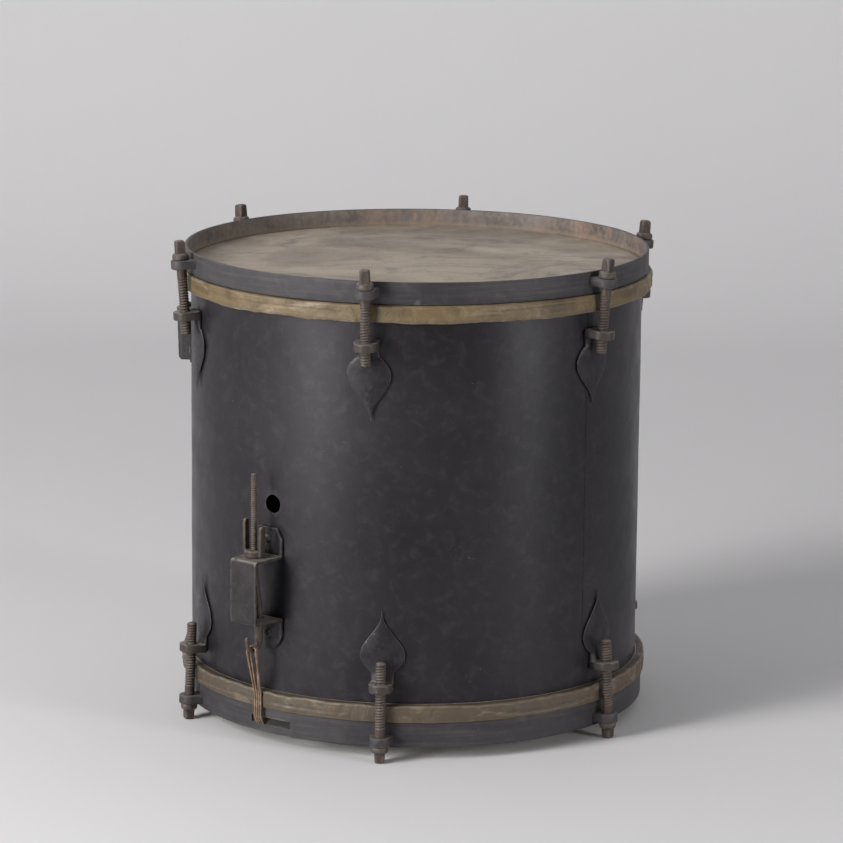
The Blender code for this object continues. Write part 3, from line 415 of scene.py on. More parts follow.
def lapped_skin():
    """The skin round the flesh hoop: stiff, yellowed and creased, its cut edge darkest."""
    f = Finish("lapped_skin", (0.071, 0.046, 0.017))
    f.coat((0.138, 0.094, 0.043), f.patches((24.0, 7.0, 0.65, 0.8), 0.34, 0.66))
    middle = f.maths("SUBTRACT", f.axis("Z"), (LOW + HIGH) / 2)
    off = f.maths("ABSOLUTE", middle)
    wavy = f.maths("MULTIPLY_ADD", f.noise(28.0, 5.0, 0.6, 0.6), -0.012, 0.006)
    near_edge = (HIGH - LOW) / 2 - LAP_INSET - FLESH_HOOP_HEIGHT - SKIN
    f.coat((0.131, 0.093, 0.036), 0.65,
           f.between(f.maths("ADD", off, wavy), near_edge + 0.0052, near_edge + 0.0036))
    f.coat((0.075, 0.053, 0.033), 0.60, f.between(off, near_edge + 0.0022, near_edge + 0.0004))
    underside = f.between(middle, 0.01, -0.01, 0.0, 0.80)
    f.coat((0.064, 0.045, 0.030), underside)
    f.coat((0.037, 0.029, 0.021), f.between(f.axis("X"), -0.06, -0.15, 0.0, 0.55), underside)
    wrinkles = f.noise(60.0, 7.0, 0.68, 1.4, (1, 1, 0.6))
    f.coat((0.095, 0.070, 0.048), f.between(wrinkles, 0.54, 0.70, 0.0, 0.5))
    f.coat((0.238, 0.186, 0.126), 0.55,
           f.patches((17.0, 6.0, 0.65, 1.0, (1, 1, 2.5)), 0.54, 0.66))
    # Painted highlight: the skin is painted paler where it bends round its rounded edges and folds.
    f.coat((0.340, 0.285, 0.215), 0.40, f.edges(0.505, 0.56))
    f.relief(f.noise(430.0, 4.0, 0.6), 0.22, 0.0004)
    f.relief(wrinkles, 0.70, 0.0022)
    return f.done(f.patches((120.0, 4.0), 0.3, 0.7, 0.42, 0.62))


def twisted_gut():
    """Dry gut: golden brown, darker in places."""
    f = Finish("twisted_gut", (0.110, 0.072, 0.042))
    f.coat((0.225, 0.155, 0.093), f.patches((160.0, 4.0, 0.6), 0.35, 0.68))
    f.coat((0.070, 0.048, 0.032), 0.5, f.patches((45.0, 3.0), 0.52, 0.70))
    f.relief(f.noise(1500.0, 3.0), 0.3, 0.0003)
    return f.done(0.48)


def plain_wood():
    """The flesh hoops' ash, hidden inside the laps."""
    f = Finish("plain_wood", (0.230, 0.150, 0.085))
    grain = f.noise(160.0, 6.0, 0.6, 0.3, (0.2, 0.2, 3))
    f.coat((0.400, 0.290, 0.180), grain)
    f.relief(grain, 0.2, 0.0005)
    return f.done(0.7)


SHELL_IRON = sheet_iron("shell_iron", (0.0104, 0.0090, 0.0114), (0.0220, 0.0195, 0.0238),
                        (0.140, 0.127, 0.128), (0.028, 0.022, 0.0225), 0.62, 0.0, (0.32, 0.44))
HOOP_IRON = sheet_iron("hoop_iron", (0.0285, 0.0264, 0.0295), (0.056, 0.0518, 0.056),
                       (0.180, 0.165, 0.152), (0.060, 0.047, 0.041), 0.58, 0.6, (0.49, 0.61))
RIM_RUST = rusty_rim()
SCREW_IRON = forged_iron("screw_iron", (0.034, 0.026, 0.0235), (0.072, 0.051, 0.042),
                         (0.210, 0.180, 0.155), 0.50, 0.08, 0.30, 0.7, (0.44, 0.62))
LUG_IRON = forged_iron("lug_iron", (0.0112, 0.0097, 0.0118), (0.0232, 0.0205, 0.0240),
                       (0.200, 0.180, 0.165), 0.48, 0.065, 0.08, 0.95, (0.34, 0.46), 0.75)
STRAP_IRON = forged_iron("strap_iron", (0.0112, 0.0098, 0.0116), (0.0232, 0.0205, 0.0238),
                         (0.230, 0.205, 0.180), 0.65, 0.080, 0.08, 0.95, (0.34, 0.46), 0.12)
CALF_SKIN = calf_skin()
LAPPED_SKIN = lapped_skin()
TWISTED_GUT = twisted_gut()
PLAIN_WOOD = plain_wood()


# ---- shapes ----


def polar(radius, angle, level=0.0):
    """A point at an angle in radians from -Y towards +X."""
    return Vector((radius * math.sin(angle), -radius * math.cos(angle), level))


def about_axis(turn):
    return Matrix.Rotation(math.radians(turn), 4, "Z")


def radial(turn, level):
    """Matrix whose +Z points out of the shell at this turn, from the drum's axis."""
    spot = Matrix.Translation((0, 0, level)) @ about_axis(turn)
    return spot @ Matrix.Rotation(math.pi / 2, 4, "X")


def around(count):
    return [2 * math.pi * k / count for k in range(count)]


def eased(t):
    return t * t * (3 - 2 * t)


def ripple(radius, level, angle, scale, seed=0.0):
    """Smooth noise between about -1 and 1 at a point of the drum."""
    spot = polar(radius, angle, level) * scale
    return noise.noise(spot + Vector((seed, seed * 1.7, -seed)))


def shade(mesh, sharp):
    mesh.shade_smooth()
    mesh.set_sharp_from_angle(angle=math.radians(sharp))


def put(name, data):
    """Put an object in the scene."""
    item = bpy.data.objects.new(name, data)
    bpy.context.collection.objects.link(item)
    return item


def mesh_of(name, bm):
    bmesh.ops.recalc_face_normals(bm, faces=bm.faces)
    mesh = bpy.data.meshes.new(name)
    bm.to_mesh(mesh)
    bm.free()
    return mesh


def make_piece(name, bm, finish, sharp=40):
    mesh = mesh_of(name, bm)
    shade(mesh, sharp)
    mesh.materials.append(finish)
    return put(name, mesh)


def stand_in_for(piece, node, body):
    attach(piece, body)
    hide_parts(node)


def second_finish(piece, finish, chosen):
    """Give another finish to the faces that are chosen by their radius and normal's rise."""
    piece.data.materials.append(finish)
    for face in piece.data.polygons:
        if chosen(math.hypot(face.center.x, face.center.y), face.normal.z):
            face.material_index = 1


def reshape(piece, kind, sharp=40, **settings):
    """Run a modifier on a piece and keep its result, so that later steps start from it."""
    modifier = piece.modifiers.new(kind, kind)
    for name, value in settings.items():
        setattr(modifier, name, value)
    bpy.context.view_layer.update()
    graph = bpy.context.evaluated_depsgraph_get()
    mesh = bpy.data.meshes.new_from_object(piece.evaluated_get(graph))
    piece.modifiers.clear()
    piece.data = mesh
    shade(mesh, sharp)


def soften(piece, width, segments=2, limit=40):
    reshape(piece, "BEVEL", width=width, segments=segments, limit_method="ANGLE",
            angle_limit=math.radians(limit))


def forge(piece, voxel):
    """Melt overlapping solids into one, with soft inner corners."""
    reshape(piece, "REMESH", mode="VOXEL", voxel_size=voxel)
    reshape(piece, "SMOOTH", factor=0.5, iterations=4)


def cut(piece, bm, sharp=40):
    """Cut a shape out of a piece."""
    cutter = put("cutter", mesh_of("cutter", bm))
    reshape(piece, "BOOLEAN", sharp, operation="DIFFERENCE", solver="EXACT", object=cutter)
    bpy.data.objects.remove(cutter)


def drill(piece, holes, sharp=40, sides=COLUMNS):
    """Cut round holes of (radius, start, end, matrix) out of a piece."""
    bm = bmesh.new()
    for radius, start, end, matrix in holes:
        loft(bm, [disc(radius, start, sides), disc(radius, end, sides)], matrix)
    cut(piece, bm, sharp)


def disc(radius, level, sides=COLUMNS):
    return [(radius * math.cos(a), radius * math.sin(a), level) for a in around(sides)]


def loft(bm, rings, matrix=Matrix(), closed=False):
    """Skin a row of rings, each a list of as many points, and cap both ends."""
    rows = [[bm.verts.new(matrix @ Vector(point)) for point in ring] for ring in rings]
    count = len(rows[0])
    for near, far in zip(rows, rows[1:] + rows[:1] * closed):
        for k in range(count):
            j = (k + 1) % count
            bm.faces.new((near[k], near[j], far[j], far[k]))
    if not closed:
        bm.faces.new(reversed(rows[0]))
        bm.faces.new(rows[-1])


def slab(bm, outline, half, matrix):
    """A plate with an outline of (x, y), half its thickness above and below."""
    loft(bm, [[(x, y, level) for x, y in outline] for level in (-half, half)], matrix)


def fillet(points, radii, steps=3):
    """Round the corners of a closed outline of (x, y), each with its own radius."""
    out = []
    for k, radius in enumerate(radii):
        here = Vector(points[k])
        if not radius:
            out.append(here)
            continue
        back = Vector(points[k - 1]) - here
        ahead = Vector(points[(k + 1) % len(points)]) - here
        reach = min(radius, back.length * 0.48, ahead.length * 0.48)
        out += curve(here, back.normalized() * reach, ahead.normalized() * reach, steps)
    return out


def curve(here, back, ahead, steps):
    """Points of a corner rounded between a step back and a step ahead."""
    start, end = here + back, here + ahead
    shares = [j / steps for j in range(steps + 1)]
    return [start * (1 - t) ** 2 + here * 2 * t * (1 - t) + end * t ** 2 for t in shares]


def divided(points, longest, closed=True):
    """Add points to a line's long parts, as long as their first two numbers say."""
    points = [Vector(point) for point in points]
    out = []
    for here, ahead in zip(points, points[1:] + points[:1] * closed):
        parts = max(1, math.ceil((ahead - here).xy.length / longest))
        out += [here + (ahead - here) * j / parts for j in range(parts)]
    return out if closed else out + points[-1:]


def lathe(name, profile, finish, bend, closed=True, angles=None, sharp=35):
    """Turn a profile of (radius, level) about Z; bend moves each point a little."""
    bm = bmesh.new()
    rows = []
    poles = {}
    for a in angles or around(STEPS_ROUND):
        row = []
        for k, (radius, level) in enumerate(profile):
            if radius < 1e-6:
                if k not in poles:
                    poles[k] = bm.verts.new((0, 0, bend(0, level, 0)[1]))
                row.append(poles[k])
            else:
                at = bend(radius, level, a)
                row.append(bm.verts.new(polar(at[0], a, at[1])))
        rows.append(row)
    for near, far in zip(rows, rows[1:] + rows[:1]):
        for j in range(len(profile) if closed else len(profile) - 1):
            i = (j + 1) % len(profile)
            bm.faces.new(list(dict.fromkeys((near[j], near[i], far[i], far[j]))))
    return make_piece(name, bm, finish, sharp)


# ---- shell ----


def make_shell():
    """The rolled sheet, with the step of its soldered seam and the air hole."""
    inner = SHELL_RADIUS - SHELL_WALL
    bead = SHELL_RADIUS - BEAD_DEPTH - SHELL_WALL
    corners = [(SHELL_RADIUS, HIGH), (SHELL_RADIUS, LOW), (bead, LOW),
               (bead, LOW + BEAD_HEIGHT), (inner, LOW + BEAD_HEIGHT),
               (inner, HIGH - BEAD_HEIGHT), (bead, HIGH - BEAD_HEIGHT), (bead, HIGH)]
    profile = divided(fillet(corners, [0.001] * len(corners), 2), 0.012)
    seam = math.radians(SEAM_TURN)
    close = [seam + math.radians(step) for step in (-0.05, 0.05, 0.25, 0.6)]
    apart = [a for a in around(STEPS_ROUND) if abs(a - seam) > math.radians(1.0)]

    def bend(radius, level, angle):
        if radius < SHELL_RADIUS - 0.0005:
            return radius, level
        past = math.degrees(angle - seam) / SEAM_WIDTH
        step = SEAM_STEP * (1 - past) if 0.0 < past < 1.0 else 0.0
        waves = 0.00018 * ripple(radius, level, angle, 16.0)
        dents = 0.00010 * ripple(radius, level, angle, 55.0, 3.0)
        return radius - 0.0001 + step + waves + dents, level

    shell = lathe("sheet_iron_shell", profile, SHELL_IRON, bend, angles=sorted(apart + close))
    drill(shell, [(AIR_HOLE_RADIUS, inner - CUT_PAST, SHELL_RADIUS + CUT_PAST,
                   radial(AIR_HOLE_TURN, LOW + AIR_HOLE_LEVEL))], sides=40)
    stand_in_for(shell, "shell", "drum")


# ---- heads ----


def beside_screws(angle, turns):
    """0 behind a screw, 1 away from all of them; turns are the screws' angles."""
    nearest = min(abs((angle - turn + math.pi) % (2 * math.pi) - math.pi) for turn in turns)
    return eased(min(1.0, max(0.0, (nearest - FLAT_BEHIND_SCREW) / FLAT_BEHIND_SCREW)))


def band_waves(level, angle, middle, way):
    """How the lapped skin stands off its hoop: folds, puckers, a crease and a ragged edge."""
    out = 0.0005 * ripple(BAND_RADIUS, level, angle, 20.0, 1.0)
    fold = ripple(BAND_RADIUS, level * 0.5, angle, 62.0, 5.0)
    out += 0.0010 * math.sqrt(max(0.0, fold - 0.05))
    out += 0.00022 * ripple(BAND_RADIUS, level, angle, 210.0, 8.0)
    crease = middle - way * (0.0005 + 0.0030 * ripple(BAND_RADIUS, 0.0, angle, 13.0, 17.0))
    depth = min(1.0, max(0.0, 0.5 + 1.8 * ripple(BAND_RADIUS, 0.0, angle, 9.0, 19.0)))
    past = (level - crease) * way
    out -= 0.0007 * depth * math.exp(-(past / 0.0008) ** 2)
    out += 0.0004 * depth * math.exp(-((past - 0.0018) / 0.0012) ** 2)
    drop = 0.0012 * ripple(BAND_RADIUS, 0.0, angle, 24.0, 11.0)
    drop += 0.0006 * ripple(BAND_RADIUS, 0.0, angle, 85.0, 13.0)
    lower = max(0.0, (middle - level) * way / 0.007)
    return out, -way * drop * min(1.0, lower)


def make_head(node, end, edge, way, seed):
    """A skin with its playing face, and the rough band that laps its flesh hoop."""
    face = GAP + SKIN
    far = -LAP_INSET - SKIN - GAP * 2 - FLESH_HOOP_HEIGHT
    back = far - SKIN
    corners = [(COLLAR_SKIN, face, 0.0014), (COLLAR_SKIN, far, 0), (BAND_RADIUS - SKIN, far, 0),
               (BAND_RADIUS - SKIN, -LAP_INSET - SKIN, 0),
               (COLLAR_SKIN + 0.0005, -LAP_INSET - SKIN, 0),
               (COLLAR_SKIN + 0.0005, -LAP_INSET, 0), (BAND_RADIUS, -LAP_INSET, 0.0026),
               (BAND_RADIUS, back, 0.0022), (SHELL_RADIUS + GAP, back, 0),
               (SHELL_RADIUS + GAP, GAP, 0.0006)]
    outline = [(radius, edge + way * out) for radius, out, _ in corners]
    rim = divided(fillet(outline, [corner[2] for corner in corners], 5), 0.0009, closed=False)
    rim_start = COLLAR_SKIN - 0.0016
    radii = [HEAD_PLAIN * k / 26 for k in range(26)]
    radii += [HEAD_PLAIN + (rim_start - HEAD_PLAIN) * k / 15 for k in range(16)]
    profile = [(radius, edge + way * face) for radius in radii] + rim
    profile += [(COLLAR_SKIN * k / 6 * 0.99, edge + way * GAP) for k in range(6, -1, -1)]
    middle = edge - way * (LAP_INSET + FLESH_HOOP_HEIGHT / 2)
    pressed = [math.radians(turn) for turn, _ in screw_turns(end)]
    if way < 0:
        pressed += [math.radians(turn) for turn in (STRAINER_TURN, BUTT_TURN)]

    def bend(radius, height, angle):
        out = (height - edge) * way
        if out > GAP + SKIN / 2 and radius < COLLAR_SKIN - 0.0004:
            sag = 0.0007 * ripple(radius, 0.0, angle, 9.0, seed)
            sag += 0.0003 * ripple(radius, 0.0, angle, 30.0, seed + 2)
            pucker = math.exp(-((radius - PUCKER_RADIUS) / PUCKER_WIDTH) ** 2)
            sag += 0.0012 * pucker * max(0.0, ripple(0.18, 0.0, angle, 48.0, seed + 4) + 0.15)
            sag += 0.0005 * pucker * ripple(0.18, 0.0, angle, 130.0, seed + 6)
            edge_fade = min(1.0, (COLLAR_SKIN - radius) / 0.004)
            return radius, height + way * (sag * edge_fade - 0.0002)
        on_lap = radius > COLLAR_SKIN + 0.002 and (out > -LAP_INSET - 0.0002 or out < far)
        if on_lap or radius > BAND_RADIUS - SKIN * 0.7:
            stand, slip = band_waves(height, angle, middle, way)
            free = beside_screws(angle, pressed)
            stand = stand * free - FLAT_PRESSED_IN * (1 - free)
            share = min(1.0, max(0.0, (radius - COLLAR_SKIN - 0.001) / 0.003))
            return radius + stand * share, height + slip * share
        return radius, height

    head = lathe(node.replace("_head", "_skin"), profile, CALF_SKIN, bend, closed=False,
                 angles=around(HEAD_STEPS), sharp=60)
    second_finish(head, LAPPED_SKIN, lambda radius, rise: radius > COLLAR_SKIN - 0.0003)
    stand_in_for(head, node, "drum")


# ---- counterhoops ----


def rounded_tongue(radius, reach, root_half, inward, steps=20):
    """Outline of an ear: a ring's outer half that runs back to a flared root."""
    points = [(root_half, inward * reach), (-root_half, inward * reach),
              (-radius, inward * reach * 0.45)]
    for k in range(steps + 1):
        a = math.pi + math.pi * k / steps
        points.append((radius * math.cos(a), inward * radius * math.sin(a)))
    return points + [(radius, inward * reach * 0.45)]


def screw_frame(name):
    """The ear's centre from the screw's joint, with +Z out of the drum along the screw."""
    joint = JOINTS[name + "_turn"]
    spot = Vector(joint["pos_m"])
    along = Vector(joint["axis"]).normalized()
    angle = math.atan2(spot.x, -spot.y)
    across = Vector((math.cos(angle), math.sin(angle), 0))
    matrix = Matrix((across, along.cross(across), along)).transposed().to_4x4()
    matrix.translation = spot
    return matrix


def screw_turns(end):
    """The turn and the frame of each screw of one end."""
    frames = [screw_frame(f"{end}_screw_{k}") for k in range(1, 7)]
    return [(math.degrees(math.atan2(m.translation.x, -m.translation.y)), m) for m in frames]


def make_counterhoop(end, way, slots=()):
    """A flat ring with six ears, and slots that pass the gut."""
    node = end + "_counterhoop"
    low, high = (corner.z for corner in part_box(node))
    corners = [(HOOP_INNER, low), (HOOP_OUTER, low), (HOOP_OUTER, high), (HOOP_INNER, high)]
    profile = divided(fillet(corners, [HOOP_EDGE] * 4), 0.006)

    def bend(radius, level, angle):
        waves = 0.00022 * ripple(0.19, level * 0.3, angle, 14.0, 21.0)
        dents = 0.00010 * ripple(radius, level, angle, 70.0, 24.0)
        lift = 0.00018 * ripple(0.19, 0.0, angle, 18.0, 27.0)
        return radius + waves * 0.6 + dents, level + lift

    hoop = lathe("flat_" + node, profile, HOOP_IRON, bend)
    if slots:
        half, base = SLOT_LENGTH / 2 / HOOP_OUTER, low + SLOT_LEVEL
        corners = [(-half, base), (half, base), (half, base + SLOT_HEIGHT),
                   (-half, base + SLOT_HEIGHT)]
        outline = divided(fillet(corners, [SLOT_CORNER] * 4, 2), 0.02)
        holes = bmesh.new()
        for turn in slots:
            loft(holes, [[polar(radius, math.radians(turn) + a, level) for a, level in outline]
                         for radius in (HOOP_INNER - CUT_PAST, HOOP_OUTER + CUT_PAST)])
        cut(hoop, holes, 35)
    bm = bmesh.new()
    matrices = [matrix for _, matrix in screw_turns(end)]
    for matrix in matrices:
        radius = math.hypot(matrix.translation.x, matrix.translation.y)
        reach = radius - HOOP_OUTER + HOOP_WALL / 2
        slab(bm, rounded_tongue(EAR_RADIUS, reach, EAR_ROOT_HALF, way), EAR_HEIGHT / 2, matrix)
    ears = make_piece("ears", bm, HOOP_IRON)
    soften(ears, EAR_EDGE, 3, 50)
    drill(ears, [(THREAD_RADIUS + 0.0002, -EAR_HEIGHT, EAR_HEIGHT, matrix)
                 for matrix in matrices])
    joined = bmesh.new()
    for piece in (hoop, ears):
        joined.from_mesh(piece.data)
    joined.to_mesh(hoop.data)
    joined.free()
    bpy.data.objects.remove(ears)
    shade(hoop.data, 38)
    second_finish(hoop, RIM_RUST,
                  lambda radius, rise: radius < HOOP_INNER + 0.0004 and abs(rise) < 0.7)
    stand_in_for(hoop, node, end + "_hoop")


# ---- tension screws ----


def thread(phase):
    """Height of a worn thread between its root, 0, and its crest, 1."""
    t = abs((phase % 1.0) * 2 - 1)
    return min(1.0, max(0.0, (t - 0.22) / 0.50))


def threaded(start, end, radius, depth, pitch, fade_out, lead=math.inf):
    """Rows of a thread that fades out at its end, and in at its start if it has a lead."""
    rows = []
    level = start
    while level < end:
        fade = min(1.0, (level - start + lead) / THREAD_FADE_IN, (end - level) / fade_out)
        rows.append((level, radius, 2, depth * fade, pitch))
        level += pitch / 8
    return rows


def turned_bar(bm, rows):
    """A bar of rows of (level, radius, squareness from 2 for round, thread depth, pitch)."""
    rings = []
    for row in rows:
        level, radius, square, depth, pitch = row + (2, 0, 1)[len(row) - 2:]
        ring = []
        for k, a in enumerate(around(COLUMNS)):
            c, s = abs(math.cos(a)), abs(math.sin(a))
            reach = radius / (c ** square + s ** square) ** (1 / square)
            if depth:
                reach -= depth * (1 - thread(level / pitch - k / COLUMNS))
            ring.append((reach * math.cos(a), reach * math.sin(a), level))
        rings.append(ring)
    loft(bm, rings)


def make_screws(end):
    """Square-headed screws with a collar, a plain neck and a worn, rounded thread."""
    first = f"{end}_screw_1"
    inverse = screw_frame(first).inverted()
    levels = [(inverse @ Vector(v.co)).z for v in frame["nodes"][first].data.vertices]
    tip, top = min(levels), max(levels)
    seat = EAR_HEIGHT / 2 + GAP
    head = seat + COLLAR_HEIGHT
    neck = -EAR_HEIGHT / 2 - SMOOTH_LENGTH
    plain = THREAD_RADIUS - 0.00015
    rows = [(tip, THREAD_RADIUS * 0.45), (tip + 0.0006, THREAD_RADIUS * 0.78)]
    rows += threaded(tip + THREAD_START, neck, THREAD_RADIUS, THREAD_DEPTH, THREAD_PITCH,
                     THREAD_FADE_OUT, THREAD_START)
    rows += [(neck + 0.0004, plain), (neck + 0.004, plain), (seat, plain),
             (seat, COLLAR_RADIUS - 0.0009), (seat + 0.0004, COLLAR_RADIUS - 0.0002),
             (seat + 0.0012, COLLAR_RADIUS, 2.05),
             (seat + COLLAR_HEIGHT * 0.62, COLLAR_RADIUS - 0.0001, 2.05),
             (seat + COLLAR_HEIGHT * 0.86, COLLAR_RADIUS - 0.0007),
             (head - 0.0002, COLLAR_RADIUS - 0.0018)]
    rows += [(head + (top - head) * share, SCREW_HEAD_WIDTH / 2 * width, square)
             for share, width, square in ((0.0, 1.01, 7), (0.05, 0.99, 8), (0.45, 0.97, 8),
                                          (0.84, 0.95, 7), (0.93, 0.90, 5), (0.98, 0.78, 4),
                                          (1.0, 0.62, 3.4))]
    bm = bmesh.new()
    turned_bar(bm, rows)
    screw = make_piece(f"{end}_tension_screw_1", bm, SCREW_IRON, 55)
    for k in range(1, 7):
        if k > 1:
            screw = put(f"{end}_tension_screw_{k}", screw.data)
        node = f"{end}_screw_{k}"
        screw.matrix_world = screw_frame(node)
        stand_in_for(screw, node, node + "_body")


# ---- lugs ----


def leaf_half_width(distance, length, taper):
    """Half the leaf's width at a distance from the eye: an ogee to a point."""
    if distance > LEAF_WIDEST_AT:
        share = (length - distance) / (length - LEAF_WIDEST_AT)
        swell = math.sin(math.pi / 2 * share) ** taper
        return LEAF_POINT + (LEAF_HALF_WIDTH - LEAF_POINT) * swell
    if distance > LEAF_NECK_AT:
        share = (LEAF_WIDEST_AT - distance) / (LEAF_WIDEST_AT - LEAF_NECK_AT)
        swell = math.cos(math.pi / 2 * share) ** 0.8
        return LEAF_NECK_HALF_WIDTH + (LEAF_HALF_WIDTH - LEAF_NECK_HALF_WIDTH) * swell
    return LEAF_NECK_HALF_WIDTH


def leaf_rings(way, length, sway, tip_lift, columns=12, count=44):
    """Rows across the leaf, thick at its neck, its edges lifted and its tip bent aside."""
    rings = []
    for k in range(count + 1):
        distance = length + (-EYE_HEIGHT / 2 + 0.001 - length) * k / count
        half = leaf_half_width(distance, length, LEAF_TAPERS[way])
        swell = max(0.0, 1 - distance / LEAF_WIDEST_AT) ** 2 if distance > 0 else 1.0
        edge = LEAF_EDGE + NECK_SWELL * 0.5 * swell
        crown = LEAF_CROWN + NECK_SWELL * swell
        along = max(0.0, distance / length)
        inner = SHELL_RADIUS + LEAF_GAP * 0.6 + LEAF_LIFT * min(1.0, 3 * along)
        inner += tip_lift * along ** 2
        if distance > LEAF_WIDEST_AT:
            crown = LEAF_EDGE + (LEAF_CROWN - LEAF_EDGE) * half / LEAF_HALF_WIDTH
            edge -= 0.0003 * min(1.0, (distance - LEAF_WIDEST_AT) / 0.010)
        aside = sway * along ** 2.2 / inner
        outer, under = [], []
        for j in range(columns + 1):
            s = -1 + 2 * j / columns
            angle = aside + half / inner * s
            rise = edge + (crown - edge) * (1 - s * s)
            outer.append(polar(inner + rise, angle, -way * distance))
            under.append(polar(inner, angle, -way * distance))
        rings.append(outer + under[::-1])
    return rings


def make_lugs(end, way):
    """Leaves that lie on the shell, their necks turned out and forged into thick eyes."""
    node_low, node_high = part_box(f"{end}_lug_1")
    centre = (node_low.z + LEAF_LENGTH) if way > 0 else (node_high.z - LEAF_LENGTH)
    lean = Vector(JOINTS[f"{end}_screw_1_turn"]["axis"])
    tilt = math.acos(max(-1.0, min(1.0, lean.z)))
    out = Matrix.Translation((0, -(SHELL_RADIUS + EYE_REACH), 0))
    out = out @ Matrix.Rotation(tilt, 4, "X")
    reach = EYE_REACH - LEAF_GAP - LEAF_EDGE / 2
    eye = rounded_tongue(EYE_RADIUS, reach, LEAF_NECK_HALF_WIDTH * 1.05, way, 28)
    for k, (turn, _) in enumerate(screw_turns(end), start=1):
        node = f"{end}_lug_{k}"
        bm = bmesh.new()
        loft(bm, leaf_rings(way, LEAF_LENGTH + LEAF_EXTRAS.get(node, 0.0),
                            TIP_SWAYS[end][k - 1], TIP_LIFTS[end][k - 1]))
        slab(bm, eye, EYE_HEIGHT / 2, out)
        lug = make_piece(f"{end}_leaf_lug_{k}", bm, LUG_IRON)
        forge(lug, LUG_VOXEL)
        drill(lug, [(THREAD_RADIUS + 0.0004, -EYE_HEIGHT, EYE_HEIGHT, out)], 48, 32)
        lug.matrix_world = Matrix.Translation((0, 0, centre)) @ about_axis(turn)
        stand_in_for(lug, node, "drum")


# ---- strainer, butt and carrying loop ----


def rounded_path(corners):
    """Round a path of (across, level, half width, bend radius), and leave out the radii."""
    path = []
    for k, (*here, bend) in enumerate(corners):
        here = Vector(here)
        if bend:
            back, ahead = ((Vector((*corners[j][:2], here.z)) - here).normalized() * bend
                           for j in (k - 1, k + 1))
            path += curve(here, back, ahead, 6)
        else:
            path.append(here)
    return path


def make_strap(name, node, turn, corners, thickness, edge, holes=()):
    """A flat strap, bent along a path of corners in a radial plane that faces -Y."""
    rings = []
    path = divided(rounded_path(corners), 0.0016, closed=False)
    shares = [1 - j / 5 for j in range(11)]
    for before, here, after in zip([None] + path, path, path[1:] + [None]):
        steps = [(end - start).xy.normalized()
                 for start, end in ((before, here), (here, after)) if start and end]
        mean = (steps[0] + steps[-1]).normalized()
        side = Vector((-mean.y, mean.x)) * thickness / 2 / max(mean.dot(steps[-1]), 0.5)
        rings.append([(way * here.z * share, -spot.x, spot.y)
                      for way, spot in ((1, here.xy + side), (-1, here.xy - side))
                      for share in shares])
    bm = bmesh.new()
    loft(bm, rings)
    piece = make_piece(name, bm, STRAP_IRON)
    soften(piece, edge)
    if holes:
        drill(piece, holes)
    piece.matrix_world = about_axis(turn)
    stand_in_for(piece, node, "drum")


def make_strainer_bracket():
    """A box bent from one strap, with a cut-cornered flange above and a round one below."""
    low, high = BRACKET_LOW, BRACKET_HIGH
    seat = SEAT + STRAP / 2
    front = SHELL_RADIUS + BRACKET_DEPTH - STRAP / 2
    wide, slim, bend = BRACKET_FLANGE_HALF_WIDTH, BRACKET_FRONT_HALF_WIDTH, BRACKET_BEND
    top = high + UPPER_FLANGE
    corners = [(seat, top, UPPER_FLANGE_TOP_HALF_WIDTH, 0),
               (seat, top - UPPER_FLANGE_CHAMFER, wide, 0),
               (seat, high - STRAP / 2, wide, bend), (front, high - STRAP / 2, slim, bend),
               (front, low + STRAP / 2, slim, bend), (seat, low + STRAP / 2, wide, bend)]
    end = low - LOWER_FLANGE
    for k in range(8):
        a = math.pi / 2 * k / 8
        corners.append((seat, end + wide * (1 - math.sin(a)), wide * math.cos(a), 0))
    corners.append((seat, end, wide * 0.12, 0))
    holes = [(ROD_RADIUS + GAP, high - 2 * STRAP, high + STRAP,
              Matrix.Translation((ROD_SHIFT, -ROD_AXIS, 0))),
             (HOOK_SHANK_RADIUS + 4 * GAP, low - STRAP, low + 2 * STRAP,
              Matrix.Translation((ROD_SHIFT, -SHANK_AXIS, 0)))]
    make_strap("strainer_strap", "strainer_bracket", STRAINER_TURN, corners, STRAP,
               STRAP_EDGE, holes)


def make_snare_butt():
    """A narrow plate whose foot turns out and up into a hook."""
    seat, half = SEAT + BUTT_STRAP / 2, BUTT_HALF_WIDTH
    corners = [(seat, BUTT_LOW + BUTT_PLATE, half * 0.6, 0),
               (seat, BUTT_LOW + BUTT_PLATE - half * 0.4, half, 0),
               (seat, BUTT_LOW, half, BUTT_BEND),
               (seat + BUTT_HOOK_DEPTH, BUTT_LOW, half, BUTT_BEND),
               (seat + BUTT_HOOK_DEPTH, BUTT_LOW + BUTT_HOOK_RISE, half * 0.7, 0)]
    make_strap("snare_anchor", "snare_butt", BUTT_TURN, corners, BUTT_STRAP, BUTT_EDGE)


def tube(bm, stations):
    """A round bar through stations of (across, level, radius), in a plane that faces -Y."""
    rings = []
    for k, (across, level, radius) in enumerate(stations):
        before = Vector(stations[max(k - 1, 0)][:2])
        after = Vector(stations[min(k + 1, len(stations) - 1)][:2])
        along = (after - before).normalized()
        ring = []
        for a in around(20):
            swing = radius * math.sin(a)
            ring.append((radius * math.cos(a), -(across - along.y * swing),
                         level + along.x * swing))
        rings.append(ring)
    loft(bm, rings)


